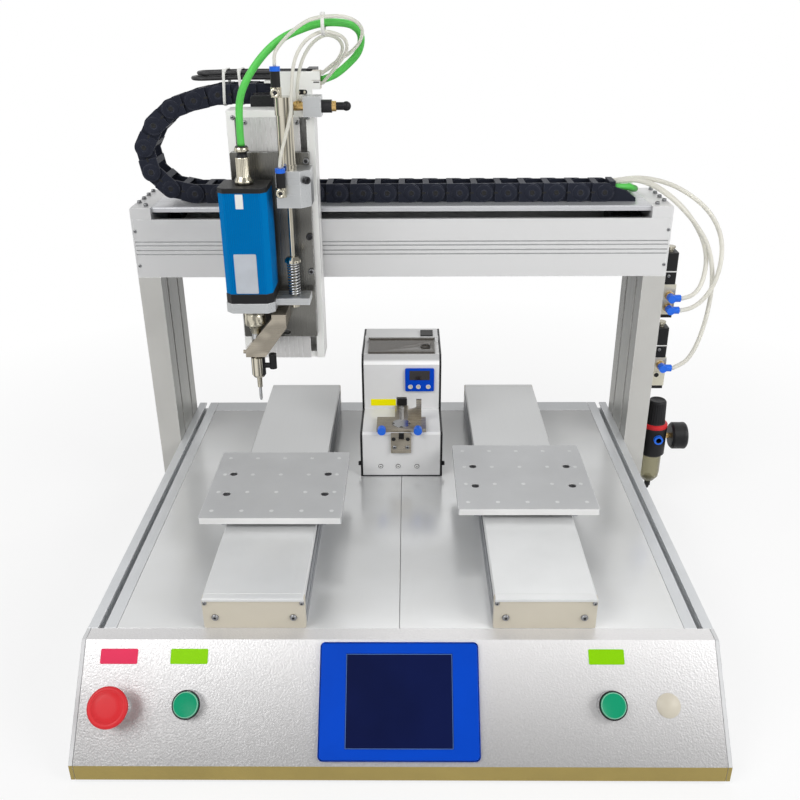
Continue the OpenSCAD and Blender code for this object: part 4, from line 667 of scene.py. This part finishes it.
joined = {
    "base_tray": (["tray_paint", "lip_gold"], lambda c, n: n.y < -0.9 and c.y < -324, 0.5),
    "y_left_plate": (["plate_alu", "plate_edge"], lambda c, n: n.y < -0.9, 0.5),
    "y_right_plate": (["plate_alu", "plate_edge"], lambda c, n: n.y < -0.9, 0.5),
    "y_end_plates": (["cream_paint", "module_alu"], lambda c, n: n.z > 0.9, 0.6),
    # The feeder's front chamfer gets the painted highlight.
    "feeder_case": (["feeder_paint", "feeder_chamfer_highlight"], lambda c, n: n.y < -0.5 and n.z > 0.4 and c.z > 240, 0.7),
    # The lifting housing's front gets the lighter copy, painted light; its sides and back keep lift_alu.
    "z_housing": (["lift_alu_painted_light", "lift_alu"], lambda c, n: abs(n.x) > 0.9 or n.y > 0.9, 0.4),
    # The columns' inner faces get the darker copy, painted shade.
    "gantry_columns": (["column_alu", "column_side_painted_shade"], lambda c, n: abs(n.x) > 0.9 and abs(c.x) < 330, 0.4),
    "front_console": (["console_alu", "lip_gold"], lambda c, n: n.y < -0.9 and c.y < -324, 0.6),
    "panel_fittings": (["black_plastic", "panel_metal", "cream_paint"], fitting_finish, 0.3),
    # The side walls take the darker grey, painted shade.
    "y_housings": (["module_side_painted_shade"], None, 0.3),
    # The faces inside the beam's grooves get the darker grey, painted shade.
    "x_housing": (["white_alu", "groove_painted_shade"], lambda c, n: 193.6 < c.y < 196.5 and 362 < c.z < 440, 0.3),
    "axis_covers": (["module_alu", "beam_cover"], lambda c, n: c.z > 300, 0.5),
    "x_end_blocks": (["white_alu", "tie_white"], lambda c, n: c.z > 452.6, 0.4),
    "valve_coils": (["black_plastic", "nickel"], lambda c, n: (c.z - VALVE_FOOT) % VALVE_PITCH > 92.2, 0.6),
    "valve_bodies": (["valve_alu", "brass", "black_plastic", "ring_blue"], outlet_finish, 0.4),
    "start_button_left": (["green_plastic", "green_rim"], button_finish, 0.2),
    "start_button_right": (["green_plastic", "green_rim"], button_finish, 0.2),
    "regulator_body": (["black_plastic", "ring_blue"], lambda c, n: c.y < 207.9, 0.5),
    "pressure_gauge": (["black_plastic", "brass"], lambda c, n: c.x < 401.4, 0.4),
    "feeder_dispenser": (["dispenser_steel", "ring_blue"],
                         lambda c, n: c.y < 91.4 and min(abs(c.x + 26), abs(c.x - 22)) < 5.8, 0.3),
    # The bracket's plate gets the lighter copy, painted light.
    "z_bracket": (["lift_alu_painted_light", "black_plastic", "cream_paint"],
                  lambda c, n: 1 if c.y > 222 and c.x > -118.2 and c.z > 606.6 else 2 if c.x > -104.1 else 0, 0.4),
    "vacuum_ejector": (["bracket_alu", "motor_paint", "brass", "black_plastic"], ejector_finish, 0.4),
    "air_cylinder": (["bracket_alu", "chrome", "nickel", "black_plastic", "ring_blue"], controller_finish, 0.4),
    "nozzle_arm": (["dispenser_steel"], None, 0.4),
    "suction_nozzle": (["chrome", "black_plastic"], lambda c, n: c.x > -178, 0.3),
    "driver_bracket": (["bracket_alu"], None, 0.4)}
for node, (materials, rule, width) in joined.items():
    eased(node, materials, width, rule)
hidden = {"control_electronics": "electronics", "guide_rails": "steel", "axis_drives": "motor_paint"}
for node, material in hidden.items():
    nodes[node].data.materials.clear()
    nodes[node].data.materials.append(finishes[material])
print("solids with several finishes:", len(joined), "with CAD's own mesh:", len(hidden))

# %% [markdown]
# Turned pieces are rings of points joined by faces. One ring may be round, six-sided, ribbed or knurled, so the same
# few lines give screws with sockets, knobs, the emergency stop and the screwdriver's plug.
# A lathe modifier would make only round ones, and booleans for the sockets would be slow and untidy.

# %% Turned pieces
RIPPLES = {"rib": (0.045, 24), "knurl": (0.05, 30)}


def ring_radius(form, radius, turn):
    """A ring's radius at a turn: round, six-sided, or rippled as ribs or a knurl (depth and number)."""
    if form == "hex":
        return radius * math.cos(math.pi / 6) / math.cos((turn % (math.pi / 3)) - math.pi / 6)
    depth, count = RIPPLES.get(form, (0, 0))
    return radius * (1 - depth * (1 + math.cos(turn * count)) / 2)


def turn_into(bm, rings, spot, axis=UP, steps=24, scale=1.0):
    """Adds a turned form: rings are (radius, height, form, finish index) in mm, from the back to the front.
    A ring may leave out the index 0, or both the round form "o" and the index."""
    rings = [(*ring, *("o", 0)[len(ring) - 2:]) for ring in rings]
    facing = Vector(axis).normalized().to_track_quat("Z", "Y").to_matrix().to_4x4()
    where = Matrix.Translation(Vector(spot) * MM) @ facing
    turns = [math.tau * k / steps for k in range(steps)]
    loops = []
    for radius, height, form, _ in rings:
        sizes = [ring_radius(form, radius, turn) * scale * MM for turn in turns]
        loops.append([bm.verts.new(where @ Vector((r * math.cos(turn), r * math.sin(turn), height * scale * MM)))
                      for r, turn in zip(sizes, turns)])
    for a, b, ring in zip(loops, loops[1:], rings[1:]):
        for face in join_loops(bm, a, b):
            face.smooth = True
            face.material_index = ring[3]
    bm.faces.new(loops[0][::-1]).material_index = rings[0][3]
    bm.faces.new(loops[-1]).material_index = rings[-1][3]


def turned(name, materials, rings, spots, axis=UP, steps=24, scale=1.0, body="machine_base"):
    """One piece of equal turned forms at several spots of a body."""
    bm = bmesh.new()
    for spot in spots:
        turn_into(bm, rings, spot, axis, steps, scale)
    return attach(new_piece(name, bm, materials), body)


print("ring forms: round, hex,", ", ".join(RIPPLES))

# %% [markdown]
# Thin plates are blank labels, marks on a dial, slots and strips. Each is a rounded outline in three loops: the foot,
# the top of the wall and an inset top, so its rim catches the light. A scaled cube would have
# hard corners, and a picture on the surface would need unwrapping.

# %% Thin plates
RIM, CORNER_POINTS = 0.25, 5


def rounded_outline(size, corner, radius, points):
    """Points of a rectangle around 0, 0 with round corners; the radius is smaller than the corner for an inset."""
    w, h = size[0] / 2 - corner, size[1] / 2 - corner
    for quarter, (x, y) in enumerate(((w, h), (-w, h), (-w, -h), (w, -h))):
        for k in range(points):
            turn = math.pi / 2 * (quarter + k / (points - 1))
            yield x + radius * math.cos(turn), y + radius * math.sin(turn)


def plate_into(bm, centre, across, up, size, thick, corner=1.0, index=0):
    """Adds a thin plate with rounded corners and a bevelled rim; sizes in mm."""
    across, up = Vector(across).normalized(), Vector(up).normalized()
    out = across.cross(up)
    rim = min(RIM, thick / 2)
    loops = []
    for lift, inset in ((0, 0), (thick - rim, 0), (thick, rim)):
        outline = rounded_outline(size, corner, max(corner - inset, 0.01), CORNER_POINTS)
        loops.append([bm.verts.new((Vector(centre) + across * x + up * y + out * lift) * MM) for x, y in outline])
    faces = join_loops(bm, loops[0], loops[1]) + join_loops(bm, loops[1], loops[2])
    for face in faces + [bm.faces.new(loops[0][::-1]), bm.faces.new(loops[-1])]:
        face.material_index = index


def plates(name, materials, specs, body="machine_base"):
    """One piece of several thin plates: (centre, across, up, size, thickness, corner, finish index)."""
    bm = bmesh.new()
    for spec in specs:
        plate_into(bm, *spec)
    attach(new_piece(name, bm, materials), body)


print("points in a plate's outline:", 4 * CORNER_POINTS)

# %% [markdown]
# The cable chain carries cables from the fixed beam to the moving carriage. A real chain rolls: its bend follows the
# carriage at half its travel. No joint can do that; the links are shared out in three pieces: the lower run from the
# fixed end, the bend with its round form, and the upper run to the carriage.

# %% Cable chain
CHEEK, PITCH = 19, 32
# The dark middle of each pivot disc is painted shade of its hole.
pivot_disc = [(10.6, -0.1), (10.6, 0.3), (10.2, 0.55), (4.6, 0.55), (4.3, 0.2), (3.4, 0.2), (3.1, 0.5),
              (1.3, 0.5, "o", 1), (1.1, 0.3, "o", 1)]
bend_pivots = [(-274, 465), (-305.3, 471.7), (-328.7, 493.5), (-334.3, 525), (-318.3, 552.8), (-293.7, 573.3),
               (-263.3, 583.2), (-232, 589.9), (-200, 591)]


def links_where(name, keep, pivots, after):
    """The chain's links whose middle passes the test, as one piece with eased edges, pivot discs and slots."""
    bm = joined_copy("cable_chain")
    left, drop, kept = set(bm.verts), [], 0
    while left:
        link, open_ends = set(), [left.pop()]
        while open_ends:
            vert = open_ends.pop()
            link.add(vert)
            for near in (e.other_vert(vert) for e in vert.link_edges):
                if near in left:
                    left.discard(near)
                    open_ends.append(near)
        low = Vector(map(min, *(v.co for v in link)))
        high = Vector(map(max, *(v.co for v in link)))
        if keep((low + high) / 2):
            kept += 1
        else:
            drop += link
    bmesh.ops.delete(bm, geom=drop, context="VERTS")
    shade_smooth(bm)
    for x, z in pivots:
        for out in (-1, 1):
            turn_into(bm, pivot_disc, (x, CHAIN_Y + out * CHEEK, z), (0, out, 0), 36)
    for (x, z), (x2, z2) in zip(pivots, pivots[1:] + [after]):
        along = Vector((x2 - x, 0, z2 - z)).normalized()
        middle = Vector(((x + x2) / 2, CHAIN_Y - CHEEK, (z + z2) / 2))
        # Dark plates on the cheeks stand for the slots' openings: painted shade.
        plate_into(bm, middle, along, Vector(FRONT).cross(along), (5.5, 2.6), 0.25, 1.2, 1)
    piece = new_piece(name, bm, ["chain_plastic", "hole_painted_shade"])
    ease_edges(piece, 0.5, harden=False)
    print(name, kept, "links")
    return piece


def lower_run(middle):
    return middle.z < 0.468 and middle.x > -0.28


def upper_run(middle):
    return middle.z > 0.57 and middle.x > -0.29


def bend(middle):
    return not lower_run(middle) and not upper_run(middle)


chain_low = links_where("chain_lower_run", lower_run, [(270 - PITCH * k, 465) for k in range(17)], bend_pivots[0])
chain_bend = links_where("chain_bend", bend, bend_pivots[:5], bend_pivots[5])
chain_top = links_where("chain_upper_run", upper_run, bend_pivots[5:], (-168, 591))
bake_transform(chain_low)
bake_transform(chain_bend)
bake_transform(chain_top)
for piece in (chain_low, chain_bend, chain_top):
    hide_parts("cable_chain")

# %% [markdown]
# A screw head is a short list of rings: its side, its rounded top and the six-sided socket that a key fits.
# Two lists serve the whole machine at several scales: a tall socket head and a low button head.
# Threads are left out, since they are always hidden in their holes.

# %% Screw heads
# Steel heads get the dark finish in their sockets: painted shade of the recess.
SCREW = ["screw_steel", "black_oxide_and_recess_shade"]
DARK = ["black_oxide_and_recess_shade", "black_oxide_and_recess_shade"]
socket_head = [(4.2, 0), (4.2, 4.3), (3.9, 4.8), (2.9, 4.8), (2.9, 4.8, "hex"), (2.8, 2.2, "hex", 1)]
button_head = [(4.6, 0), (4.5, 1), (3.7, 2.1), (2.4, 2.6), (1.9, 2.6, "hex"), (1.8, 1.2, "hex", 1)]


def screws(name, head, spots, scale, axis=UP, body="machine_base", materials=SCREW):
    """Equal screw heads at several spots."""
    turned(name, materials, head, spots, axis, scale=scale, body=body)


print("rings in a socket head:", len(socket_head))

# %% [markdown]
# Screws show where things are held: button heads on the table modules' end plates, socket heads on the beam's ends,
# the head plate and the tooling plates. Each sits on the face that it holds, with a six-sided socket; on bright heads
# the socket's dark colour is painted shade.
# They stay out of the CAD because they'd add thousands of faces and no use.

# %% Screws
SIDE = {-1: "left", 1: "right"}
TABLE_X, END_FACE, PLATE_FACE = 150, 355.5, 134.5
TABLES = (("left", -TABLE_X, -17.5), ("right", TABLE_X, 1.5))
for name, across, z, scale in (("end_plate_small_screws", 50, 142, 0.55), ("end_plate_screws", 40.5, 124, 0.85)):
    ends = [(s * TABLE_X + side * across, -225, z) for s in SIDE for side in SIDE]
    screws(name, button_head, ends, scale, FRONT)
corners = ((-40.5, 124), (40.5, 124), (-48, 142), (48, 142))
screws("rear_end_plate_screws", button_head, [(s * TABLE_X + x, 309, z) for s in SIDE for x, z in corners], 0.7, REAR)
tops = ((350.5, 298), (350.5, 274), (350.5, 250), (350.5, 226), (337, 208))
screws("end_block_screws", socket_head, [(s * x, y, 452.5) for s in SIDE for x, y in tops], 0.7)
screws("beam_end_screws", button_head,
       [(s * x, 193.5, z) for s in SIDE for x, z in ((351.5, 422), (351, 375))], 0.5, FRONT)
for s, side in SIDE.items():
    caps = [(s * END_FACE, y, z) for y in (203, 303) for z in (375, 428)]
    screws(f"end_cap_screws_{side}", button_head, caps, 0.6, (s, 0, 0), materials=DARK)
    feet = [(s * END_FACE, y, z) for y in (211, 287) for z in (30, 90)]
    screws(f"column_bolts_{side}", socket_head, feet, 0.8, (s, 0, 0))
screws("head_plate_screws", socket_head, [(-114, PLATE_FACE, z) for z in (475.6, 430)], 0.95, FRONT, "lift_head", DARK)
screws("block_bolt", socket_head, [(-111.8, 98.3, 507)], 1.05, (1, -1, 0), "lift_head", DARK)
screws("head_plate_bright_screws", socket_head,
       [(-114, PLATE_FACE, z) for z in (385, 513, 523)], 0.85, FRONT, "lift_head")
caps = ((-186.5, 566), (-124, 566), (-201, 572), (-111, 572))
screws("lift_cap_screws", button_head, [(x, 146.5, z) for x, z in caps], 0.62, FRONT, "cross_carriage")
screws("bracket_screws", socket_head, [(x, 118.8, 350.5) for x in (-205, -163)], 0.5, (0, 0, -1), "screwdriver", DARK)
for side, x, y in TABLES:
    bores = [(x + i * 59, y + j * 24 - 1.5, 157.05) for i in SIDE for j in SIDE]
    screws(f"{side}_table_screws", socket_head, bores, 0.98, body=f"table_{side}", materials=DARK)
screws("guide_plate_screws", button_head, [(-9, 86.5, 156), (8, 86.5, 156)], 0.62, FRONT)
# Flat dark discs for the guide plate's two holes: painted shade.
flush = [(3.6, 0), (3.4, 0.35), (2, 0.35, "hex"), (1.9, 0.12, "hex", 1)]
screws("guide_plate_holes", flush, [(-10.3, 86.5, 168), (8.6, 86.5, 168)], 0.8, FRONT, materials=["hole_painted_shade"])
# Painted shade: a dark ring round each foot screw for the gap of its hole, and a dark socket.
ringed = [(3.2, 0, "o", 1), (3.2, 0.5, "o", 1), (2.6, 0.7, "o", 1), (2.5, 0.6), (2.3, 1.1), (0.9, 1.2),
          (0.8, 0.8, "o", 1)]
feet = [(x, 89.5, 125.5) for x in (-28, -4.5, 20.8)]
turned("feeder_foot_screws", ["plate_white", "black_oxide_and_recess_shade"], ringed, feet, FRONT, 30)
for s, side in SIDE.items():
    screws(f"feeder_side_bolt_{side}", socket_head, [(s * 55, 97, 126)], 0.72, (s, 0, 0), materials=DARK)
insert = [(2.45, -0.3), (2.45, 0.06), (2, 0.06), (1.9, -0.5), (1.9, -7.5)]
for side, x, y in TABLES:
    taps = [(x + i * 35, y + j * 42, 162) for i in (-2, -1, 0, 1, 2) for j in (-1.5, -0.5, 0.5, 1.5)]
    turned(f"{side}_table_inserts", ["module_alu"], insert, taps, body=f"table_{side}")
# The port's bore is painted shade.
port = [(5.2, 0), (5.2, 0.4), (4.8, 0.6), (3.4, 0.6), (3.2, 0.2, "o", 1)]
turned("valve_ports", ["valve_alu", "hole_painted_shade"], port, [(364.3, 208.5, 207.5)], FRONT, 28)
valve_feet = (VALVE_FOOT, VALVE_FOOT + VALVE_PITCH)
screws("coil_screws", button_head, [(364.5, 209.5, z + 60) for z in valve_feet], 0.5, FRONT)
screws("inlet_screws", button_head, [(-267, 327.5, 37), (-213, 327.5, 37)], 0.5, REAR)
panel = [(x, 325, 60) for x in (-300, -150, 0, 150, 300)] + [(x, 325, 12) for x in (-300, 0, 300)]
screws("rear_panel_screws", button_head, panel, 0.6, REAR)

# %% [markdown]
# Knobs and plugs are the pieces that a hand looks for. The emergency stop is a mushroom with a shallow ring in its
# top; the regulator's knob is ribbed and has a red locking ring; the screwdriver's plug has a knurled nut.
# They take the CAD's profiles, so they fill the same room, and add the ribs that CAD leaves out.

# %% Knobs and plugs
DRIVER, REGULATOR = (-184, 96.5), (377, 226.5)


def stands_for(piece, node):
    """A turned piece that takes the place of a CAD solid."""
    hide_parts(node)
    print(piece.name, "for", node)


mushroom = [(8, -8), (8, 11), (13, 11), (18.5, 20), (19.6, 22.4), (20, 23.6), (20, 25.3), (19.6, 26.3), (18.7, 27),
            (16.4, 27.4), (16.1, 27.2), (15.3, 27.2), (15, 27.5), (9, 28), (0.4, 28)]
stop = turned("emergency_stop", ["red_plastic"], mushroom, [on_slope(-284, 54.5)], slope_out, 64, body="estop")
stands_for(stop, "estop_button")
knob = [(6, -5.5), (6, 0.3), (18, 0.3, "o", 1), (18.5, 0.8, "o", 1), (18.5, 5.3, "o", 1), (18, 6, "o", 1),
        (14.9, 6.8, "o", 1), (14.4, 7.4), (14.2, 10, "rib"), (13.2, 39, "rib"), (12.6, 41.4), (11.2, 43), (9.5, 43),
        (9, 42.2), (0.4, 42.2)]
cap = turned("regulator_cap", ["black_plastic", "red_plastic"], knob, [(*REGULATOR, 117)], steps=144, body="knob")
stands_for(cap, "regulator_knob")
plug = [(11, 0), (11, 4), (10.4, 5.2), (8.6, 8.6), (8.3, 9.6, "knurl"), (8.3, 30.2, "knurl"), (7.8, 31.2),
        (6, 33, "o", 1), (6, 37, "o", 1), (8.1, 37.9), (8.4, 38.4), (8.4, 41.2), (7.6, 42.6), (6.5, 44, "o", 1)]
plug_piece = turned("driver_plug", ["nickel", "black_plastic"], plug, [(*DRIVER, 503)], steps=120, body="screwdriver")
stands_for(plug_piece, "driver_connector")
collar = [(5.2, -35), (6.4, -34), (6.4, -28), (8.2, -27.2, "knurl"), (8.2, -23, "knurl"), (12.8, -22.4),
          (13.5, -21.6), (13.5, -12), (13, -11), (13, -0.05)]
turned("spindle_collar", ["nickel"], collar, [(*DRIVER, 350.5)], steps=90, body="screwdriver")
needle_knob = [(5.6, -2, "knurl"), (5.6, 3.2, "knurl"), (5, 3.9), (2.4, 3.9), (2.2, 3.2, "o", 1)]
turned("needle_knobs", ["nickel", "black_oxide_and_recess_shade"], needle_knob, [(-140, 93.6, 605.5), (-139, 80, 495.5)], FRONT, 60,
       body="lift_head")
drain = [(1.6, -13), (2.6, -12.6), (3, -8.4), (4.5, -7.8, "rib"), (4.5, -1, "rib"), (3.4, 0), (3.2, 1.5),
         (5.4, 3.5), (5.4, 8.5), (4.2, 10), (1.5, 10.5)]
turned("bowl_drain", ["black_plastic"], drain, [(*REGULATOR, 24)], steps=72)
bezel = [(19.9, 17.6), (20.2, 18.2), (20.2, 20.4), (19.9, 21)]
turned("gauge_bezel", ["motor_paint"], bezel, [(401.5, 226.5, 100.8)], RIGHT, 64)

# %% [markdown]
# The gauge's dial is a white disc with plain marks, a needle and a glass. It faces sideways, so the photograph hides
# it; a bare disc would look unfinished from the right. Marks and needle are thin plates on the disc,
# turned around its middle by nine degrees each.

# %% Gauge dial
dial_centre = Vector((422.5, 226.5, 100.8))


def dial_plate(degrees, lift, reach, size, thick, corner, index):
    """A mark or the needle: a thin plate that points away from the dial's middle."""
    turn = math.radians(degrees)
    away = Vector((0, -math.cos(turn), math.sin(turn)))
    return (dial_centre + Vector((lift, 0, 0)) + away * reach, away.cross(RIGHT), away, size, thick, corner, index)


marks = []
for k in range(31):
    reach, size = (15.4, (0.7, 3.2)) if k % 5 == 0 else (16, (0.4, 1.8))
    marks.append(dial_plate(225 - 9 * k, 0.3, reach, size, 0.12, 0.1, 1))
marks.append(dial_plate(170, 0.7, 5, (0.9, 17), 0.3, 0.4, 2))
plates("gauge_marks", ["plate_white", "black_plastic", "red_plastic"], marks)
disc = [(17.8, -0.4), (17.8, 0.2), (17.5, 0.3), (2.6, 0.3), (2.4, 1.2, "o", 1), (1.6, 1.5, "o", 1)]
turned("gauge_dial", ["plate_white", "black_plastic"], disc, [dial_centre], RIGHT, 48)
glass = [(17.9, 1.55), (17.9, 1.75), (12, 1.9), (0.4, 2)]
turned("gauge_glass", ["dial_glass"], glass, [dial_centre], RIGHT, 48)
print("gauge marks and needle:", len(marks))

# %% [markdown]
# Where the machine has printed plates, this part has blank ones in the same colours: three on the console, one on the
# feeder and two pale strips on the screwdriver. A thin blue-grey line frames the touch screen. They are real thin
# plates rather than painted patches, so their edges catch the light. Slots, lips and keys are made the same way; black
# plates in the feeder's notch and the bracket's slots are painted shade, and a black strip at the feeder's foot is a
# painted shadow line.

# %% Blank plates
def upright(centre, *rest):
    """A plate that faces the front."""
    return (centre, RIGHT, UP, *rest)


def sloping(x, s, lift, *rest):
    """A plate on the console's slope."""
    return (on_slope(x, s, lift), RIGHT, slope_way, *rest)


console = [sloping(x, 103.5, 0, (wide, 15), 0.5, 1.5, index)
           for x, wide, index in ((-285, 38, 0), (-213.5, 38, 1), (209.5, 36, 1))]
plates("console_plates", ["plate_red", "plate_lime"], console)
frame_line = []
for s in SIDE:
    frame_line.append(sloping(0, 61.1 + s * 44.5, 5, (106.4, 0.6), 0.4, 0.2, 0))
    frame_line.append(sloping(s * 52.95, 61.1, 5, (0.6, 89.4), 0.4, 0.2, 0))
plates("screen_line", ["screen_rim"], frame_line)
plates("driver_strips", ["plate_white", "label_grey"], [
    upright((-187, 71, 487.5), (9, 17), 0.45, 0.8, 0), upright((-185.5, 71, 400.5), (27, 49), 0.45, 1.2, 1)],
    "screwdriver")
# Index 1 is black: the small switch is real; the plate behind the guide notch is painted shade, and the long strip at
# the case's foot is a painted shadow line.
plates("feeder_plates", ["plate_yellow", "black_plastic", "display_window", "plate_white"], [
    upright((-25.5, 163.5, 186), (35, 10), 0.4, 1.0, 0), upright((1, 163.5, 186.5), (13, 11), 0.6, 0.8, 1),
    upright((25, 160.5, 228.2), (28, 14), 0.5, 0.8, 2), upright((0, 89.5, 171.4), (7.6, 9.2), 0.3, 0.6, 1),
    upright((0, 89.5, 110.9), (105, 1.7), 0.5, 0.5, 1)])
# Painted shade: black plates stand for the bracket's dark slots; nickel screw heads sit beside the first.
plates("bracket_slot_shade", ["black_plastic", "nickel"], [
    upright((-116.5, 146.5, 600.6), (13.5, 5.6), 0.3, 2.6, 0),
    *(upright((x, 146.2, 600.6), (2.6, 3.4), 0.8, 0.8, 1) for x in (-119.6, -112.8)),
    upright((-98.5, 146.5, 611.6), (7, 1.3), 0.3, 0.3, 0)], "cross_carriage")
plates("cover_lips", ["module_alu"], [
    upright((s * TABLE_X, -225, 146.25), (104.6, 3.4), 1.0, 0.6, 0) for s in SIDE])
finger_ring = circle(33.6, 194, 6.4, lambda k: 258.2, 40, 41)
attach(tube("lid_finger_ring", finger_ring, 0.0011, "black_plastic", sides=8), "lid")
key = [(2.9, 0), (2.9, 0.5), (2.4, 0.9), (2.3, 0.6, "o", 1), (0.4, 0.9, "o", 1)]
keys = [(x, 160.5, 211.2) for x in (12.3, 23.3, 37)]
turned("feeder_keys", ["plate_white", "cream_paint"], key, keys, FRONT, 28, 1.1)
plates("coil_bands", ["plate_white"], [upright((366, 209.5, z + 66), (19, 1.6), 0.3, 0.4, 0) for z in valve_feet])
print("blank plates on the console:", len(console))

# %% [markdown]
# The spring on the cylinder's rod pushes the screwdriver back. In CAD it is a stack of rings, because a helix is
# costly there; here it is a real helix with a round wire and closed ends, swept by the same tube helper.
# Cable ties hold the loop and the folded leads: a flat band around the bundle and a small square head.

# %% Spring and ties
TURNS, TURN_STEPS = 12, 24
COIL_FOOT, COIL_HEIGHT, SOFT_ENDS = 363.9, 40.8, 0.25


def coil_height(k):
    """The helix climbs more slowly at both ends, where the coils of a spring close up."""
    share = k / (TURN_STEPS * TURNS)
    slow_share = 3 * share ** 2 - 2 * share ** 3
    return COIL_FOOT + COIL_HEIGHT * (SOFT_ENDS * slow_share + (1 - SOFT_ENDS) * share)


coil = circle(-133, 106.5, 6.8, coil_height, TURN_STEPS, TURN_STEPS * TURNS + 1)
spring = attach(tube("rod_coil", coil, 0.0021, "steel_turned", sides=10), "screwdriver")
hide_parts("rod_spring")
BAND = ((0, -0.5), (0, 0.5), (0.75, 0.5), (1, 0.32), (1, -0.32), (0.75, -0.5))


def tie(name, body, ring, width_way, head, band=3.6, thick=1.1):
    """A cable tie: a flat band along a closed ring of points in mm, with its head at one of them."""
    bm = bmesh.new()
    way = Vector(width_way).normalized()
    ring = [Vector(p) for p in ring]
    middle = sum(ring, Vector()) / len(ring)

    def outward(point):
        away = point - middle
        return (away - way * away.dot(way)).normalized()

    loops = []
    for point in ring:
        away = outward(point)
        loops.append([bm.verts.new((point + away * thick * o + way * band * a) * MM) for o, a in BAND])
    for a, b in zip(loops, loops[1:] + loops[:1]):
        for face in join_loops(bm, a, b):
            face.smooth = True
    bmesh.ops.recalc_face_normals(bm, faces=bm.faces[:])
    out = outward(ring[head])
    plate_into(bm, ring[head] + out * 0.4, out.cross(way), way, (5.4, 5.0), 3.2, 0.8)
    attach(new_piece(name, bm, ["tie_white"]), body)


def rounded_ring(x, low, high, corner, tilt):
    """A closed ring of points round a rectangle in the plane across X, from its low to its high corner (y, z)."""
    size, middle = Vector(high) - Vector(low), (Vector(high) + Vector(low)) / 2
    outline = [middle + Vector(point) for point in rounded_outline(size, corner, corner, 6)]
    return [(x + tilt * (z - low[1]), y, z) for y, z in outline]


tie("leads_tie_left", "cross_carriage", rounded_ring(-224, (221.4, 577.0), (261.0, 619.0), 6, 0.05), RIGHT, 7)
tie("leads_tie_right", "cross_carriage", rounded_ring(-201, (221.4, 578.2), (261.0, 619.2), 6, -0.05), RIGHT, 7)
turns = [math.tau * k / 24 for k in range(24)]
loop_ring = [(-84.5, 110 + 11.2 * math.cos(t), 676.2 + 11.4 * math.sin(t)) for t in turns]
tie("loop_tie", "lift_head", loop_ring, (1, 0.25, 0.05), 8, band=4.0)

# %% [markdown]
# The photograph is a studio picture: a white ground that keeps a soft shadow, large lights from the upper left and
# from the right, and weaker ones from the front and from behind. The ground looks white through its own colour
# and a share of plain white for the camera; metal and glass mirror the same white surroundings.

# %% Floor and light
def lamp(name, where, aim, size, power):
    """A large soft lamp that looks at a point."""
    light = bpy.data.lights.new(name, "AREA")
    light.shape = "DISK"
    light.size = size
    light.energy = power
    holder = put(name, light)
    holder.location = where
    holder.rotation_euler = (Vector(aim) - Vector(where)).to_track_quat("-Z", "Y").to_euler()


def seen_directly(tree):
    """A mask for rays from the camera, from mirrors and through glass."""
    path = add(tree, "ShaderNodeLightPath")
    mirrored = times(tree, path.outputs["Is Camera Ray"], path.outputs["Is Glossy Ray"], "MAXIMUM")
    return times(tree, mirrored, path.outputs["Is Transmission Ray"], "MAXIMUM")


AMBIENT = 0.36
world = bpy.data.worlds.new("studio")
scene.world = world
world.use_nodes = True
sky = world.node_tree
ambient = sky.nodes["Background"]
ambient.inputs["Color"].default_value = (1, 1, 1, 1)
feed(sky, ambient.inputs["Strength"], spread(sky, seen_directly(sky), 0, 1, AMBIENT, 1.0))

ground_finish = bpy.data.materials.new("pale_ground")
ground_finish.use_nodes = True
ground = ground_finish.node_tree
paper = ground.nodes["Principled BSDF"]
paper.inputs["Roughness"].default_value = 0.9
pale = blend_colour(ground, effect(ground, patches, Scale=3.0), (0.86, 0.86, 0.86, 1), (0.9, 0.9, 0.9, 1))
feed(ground, paper.inputs["Base Color"], pale)
glow = add(ground, "ShaderNodeEmission", Strength=1.0)
mixed = add(ground, "ShaderNodeMixShader")
distance = vectors(ground, "LENGTH", add(ground, "ShaderNodeNewGeometry").outputs["Position"])
white_share = times(ground, seen_directly(ground), spread(ground, distance, 0.5, 1.2, 0.75, 1.0))
for socket, value in zip(mixed.inputs, (white_share, paper.outputs[0], glow.outputs[0])):
    feed(ground, socket, value)
feed(ground, ground.nodes["Material Output"].inputs["Surface"], mixed.outputs[0])
bm = bmesh.new()
bmesh.ops.create_grid(bm, x_segments=12, y_segments=12, size=6.0)
floor = new_piece("floor", bm, [])
floor.data.materials.append(ground_finish)
floor.location.z = -0.0005

lamp("key_left", (-1.5, -1.2, 2.0), (0, 0, 0.25), 1.3, 23.0)
lamp("fill_right", (1.7, -1.1, 1.4), (0, 0, 0.25), 1.4, 26.0)
lamp("front_soft", (-0.85, -1.68, 1.52), (-0.1, -0.1, 0.2), 0.6, 4.0)
lamp("back_top", (0.2, 1.6, 1.9), (0, 0, 0.3), 1.4, 6.0)
scene.view_settings.view_transform = "Standard"
print("lamps:", len(bpy.data.lights))
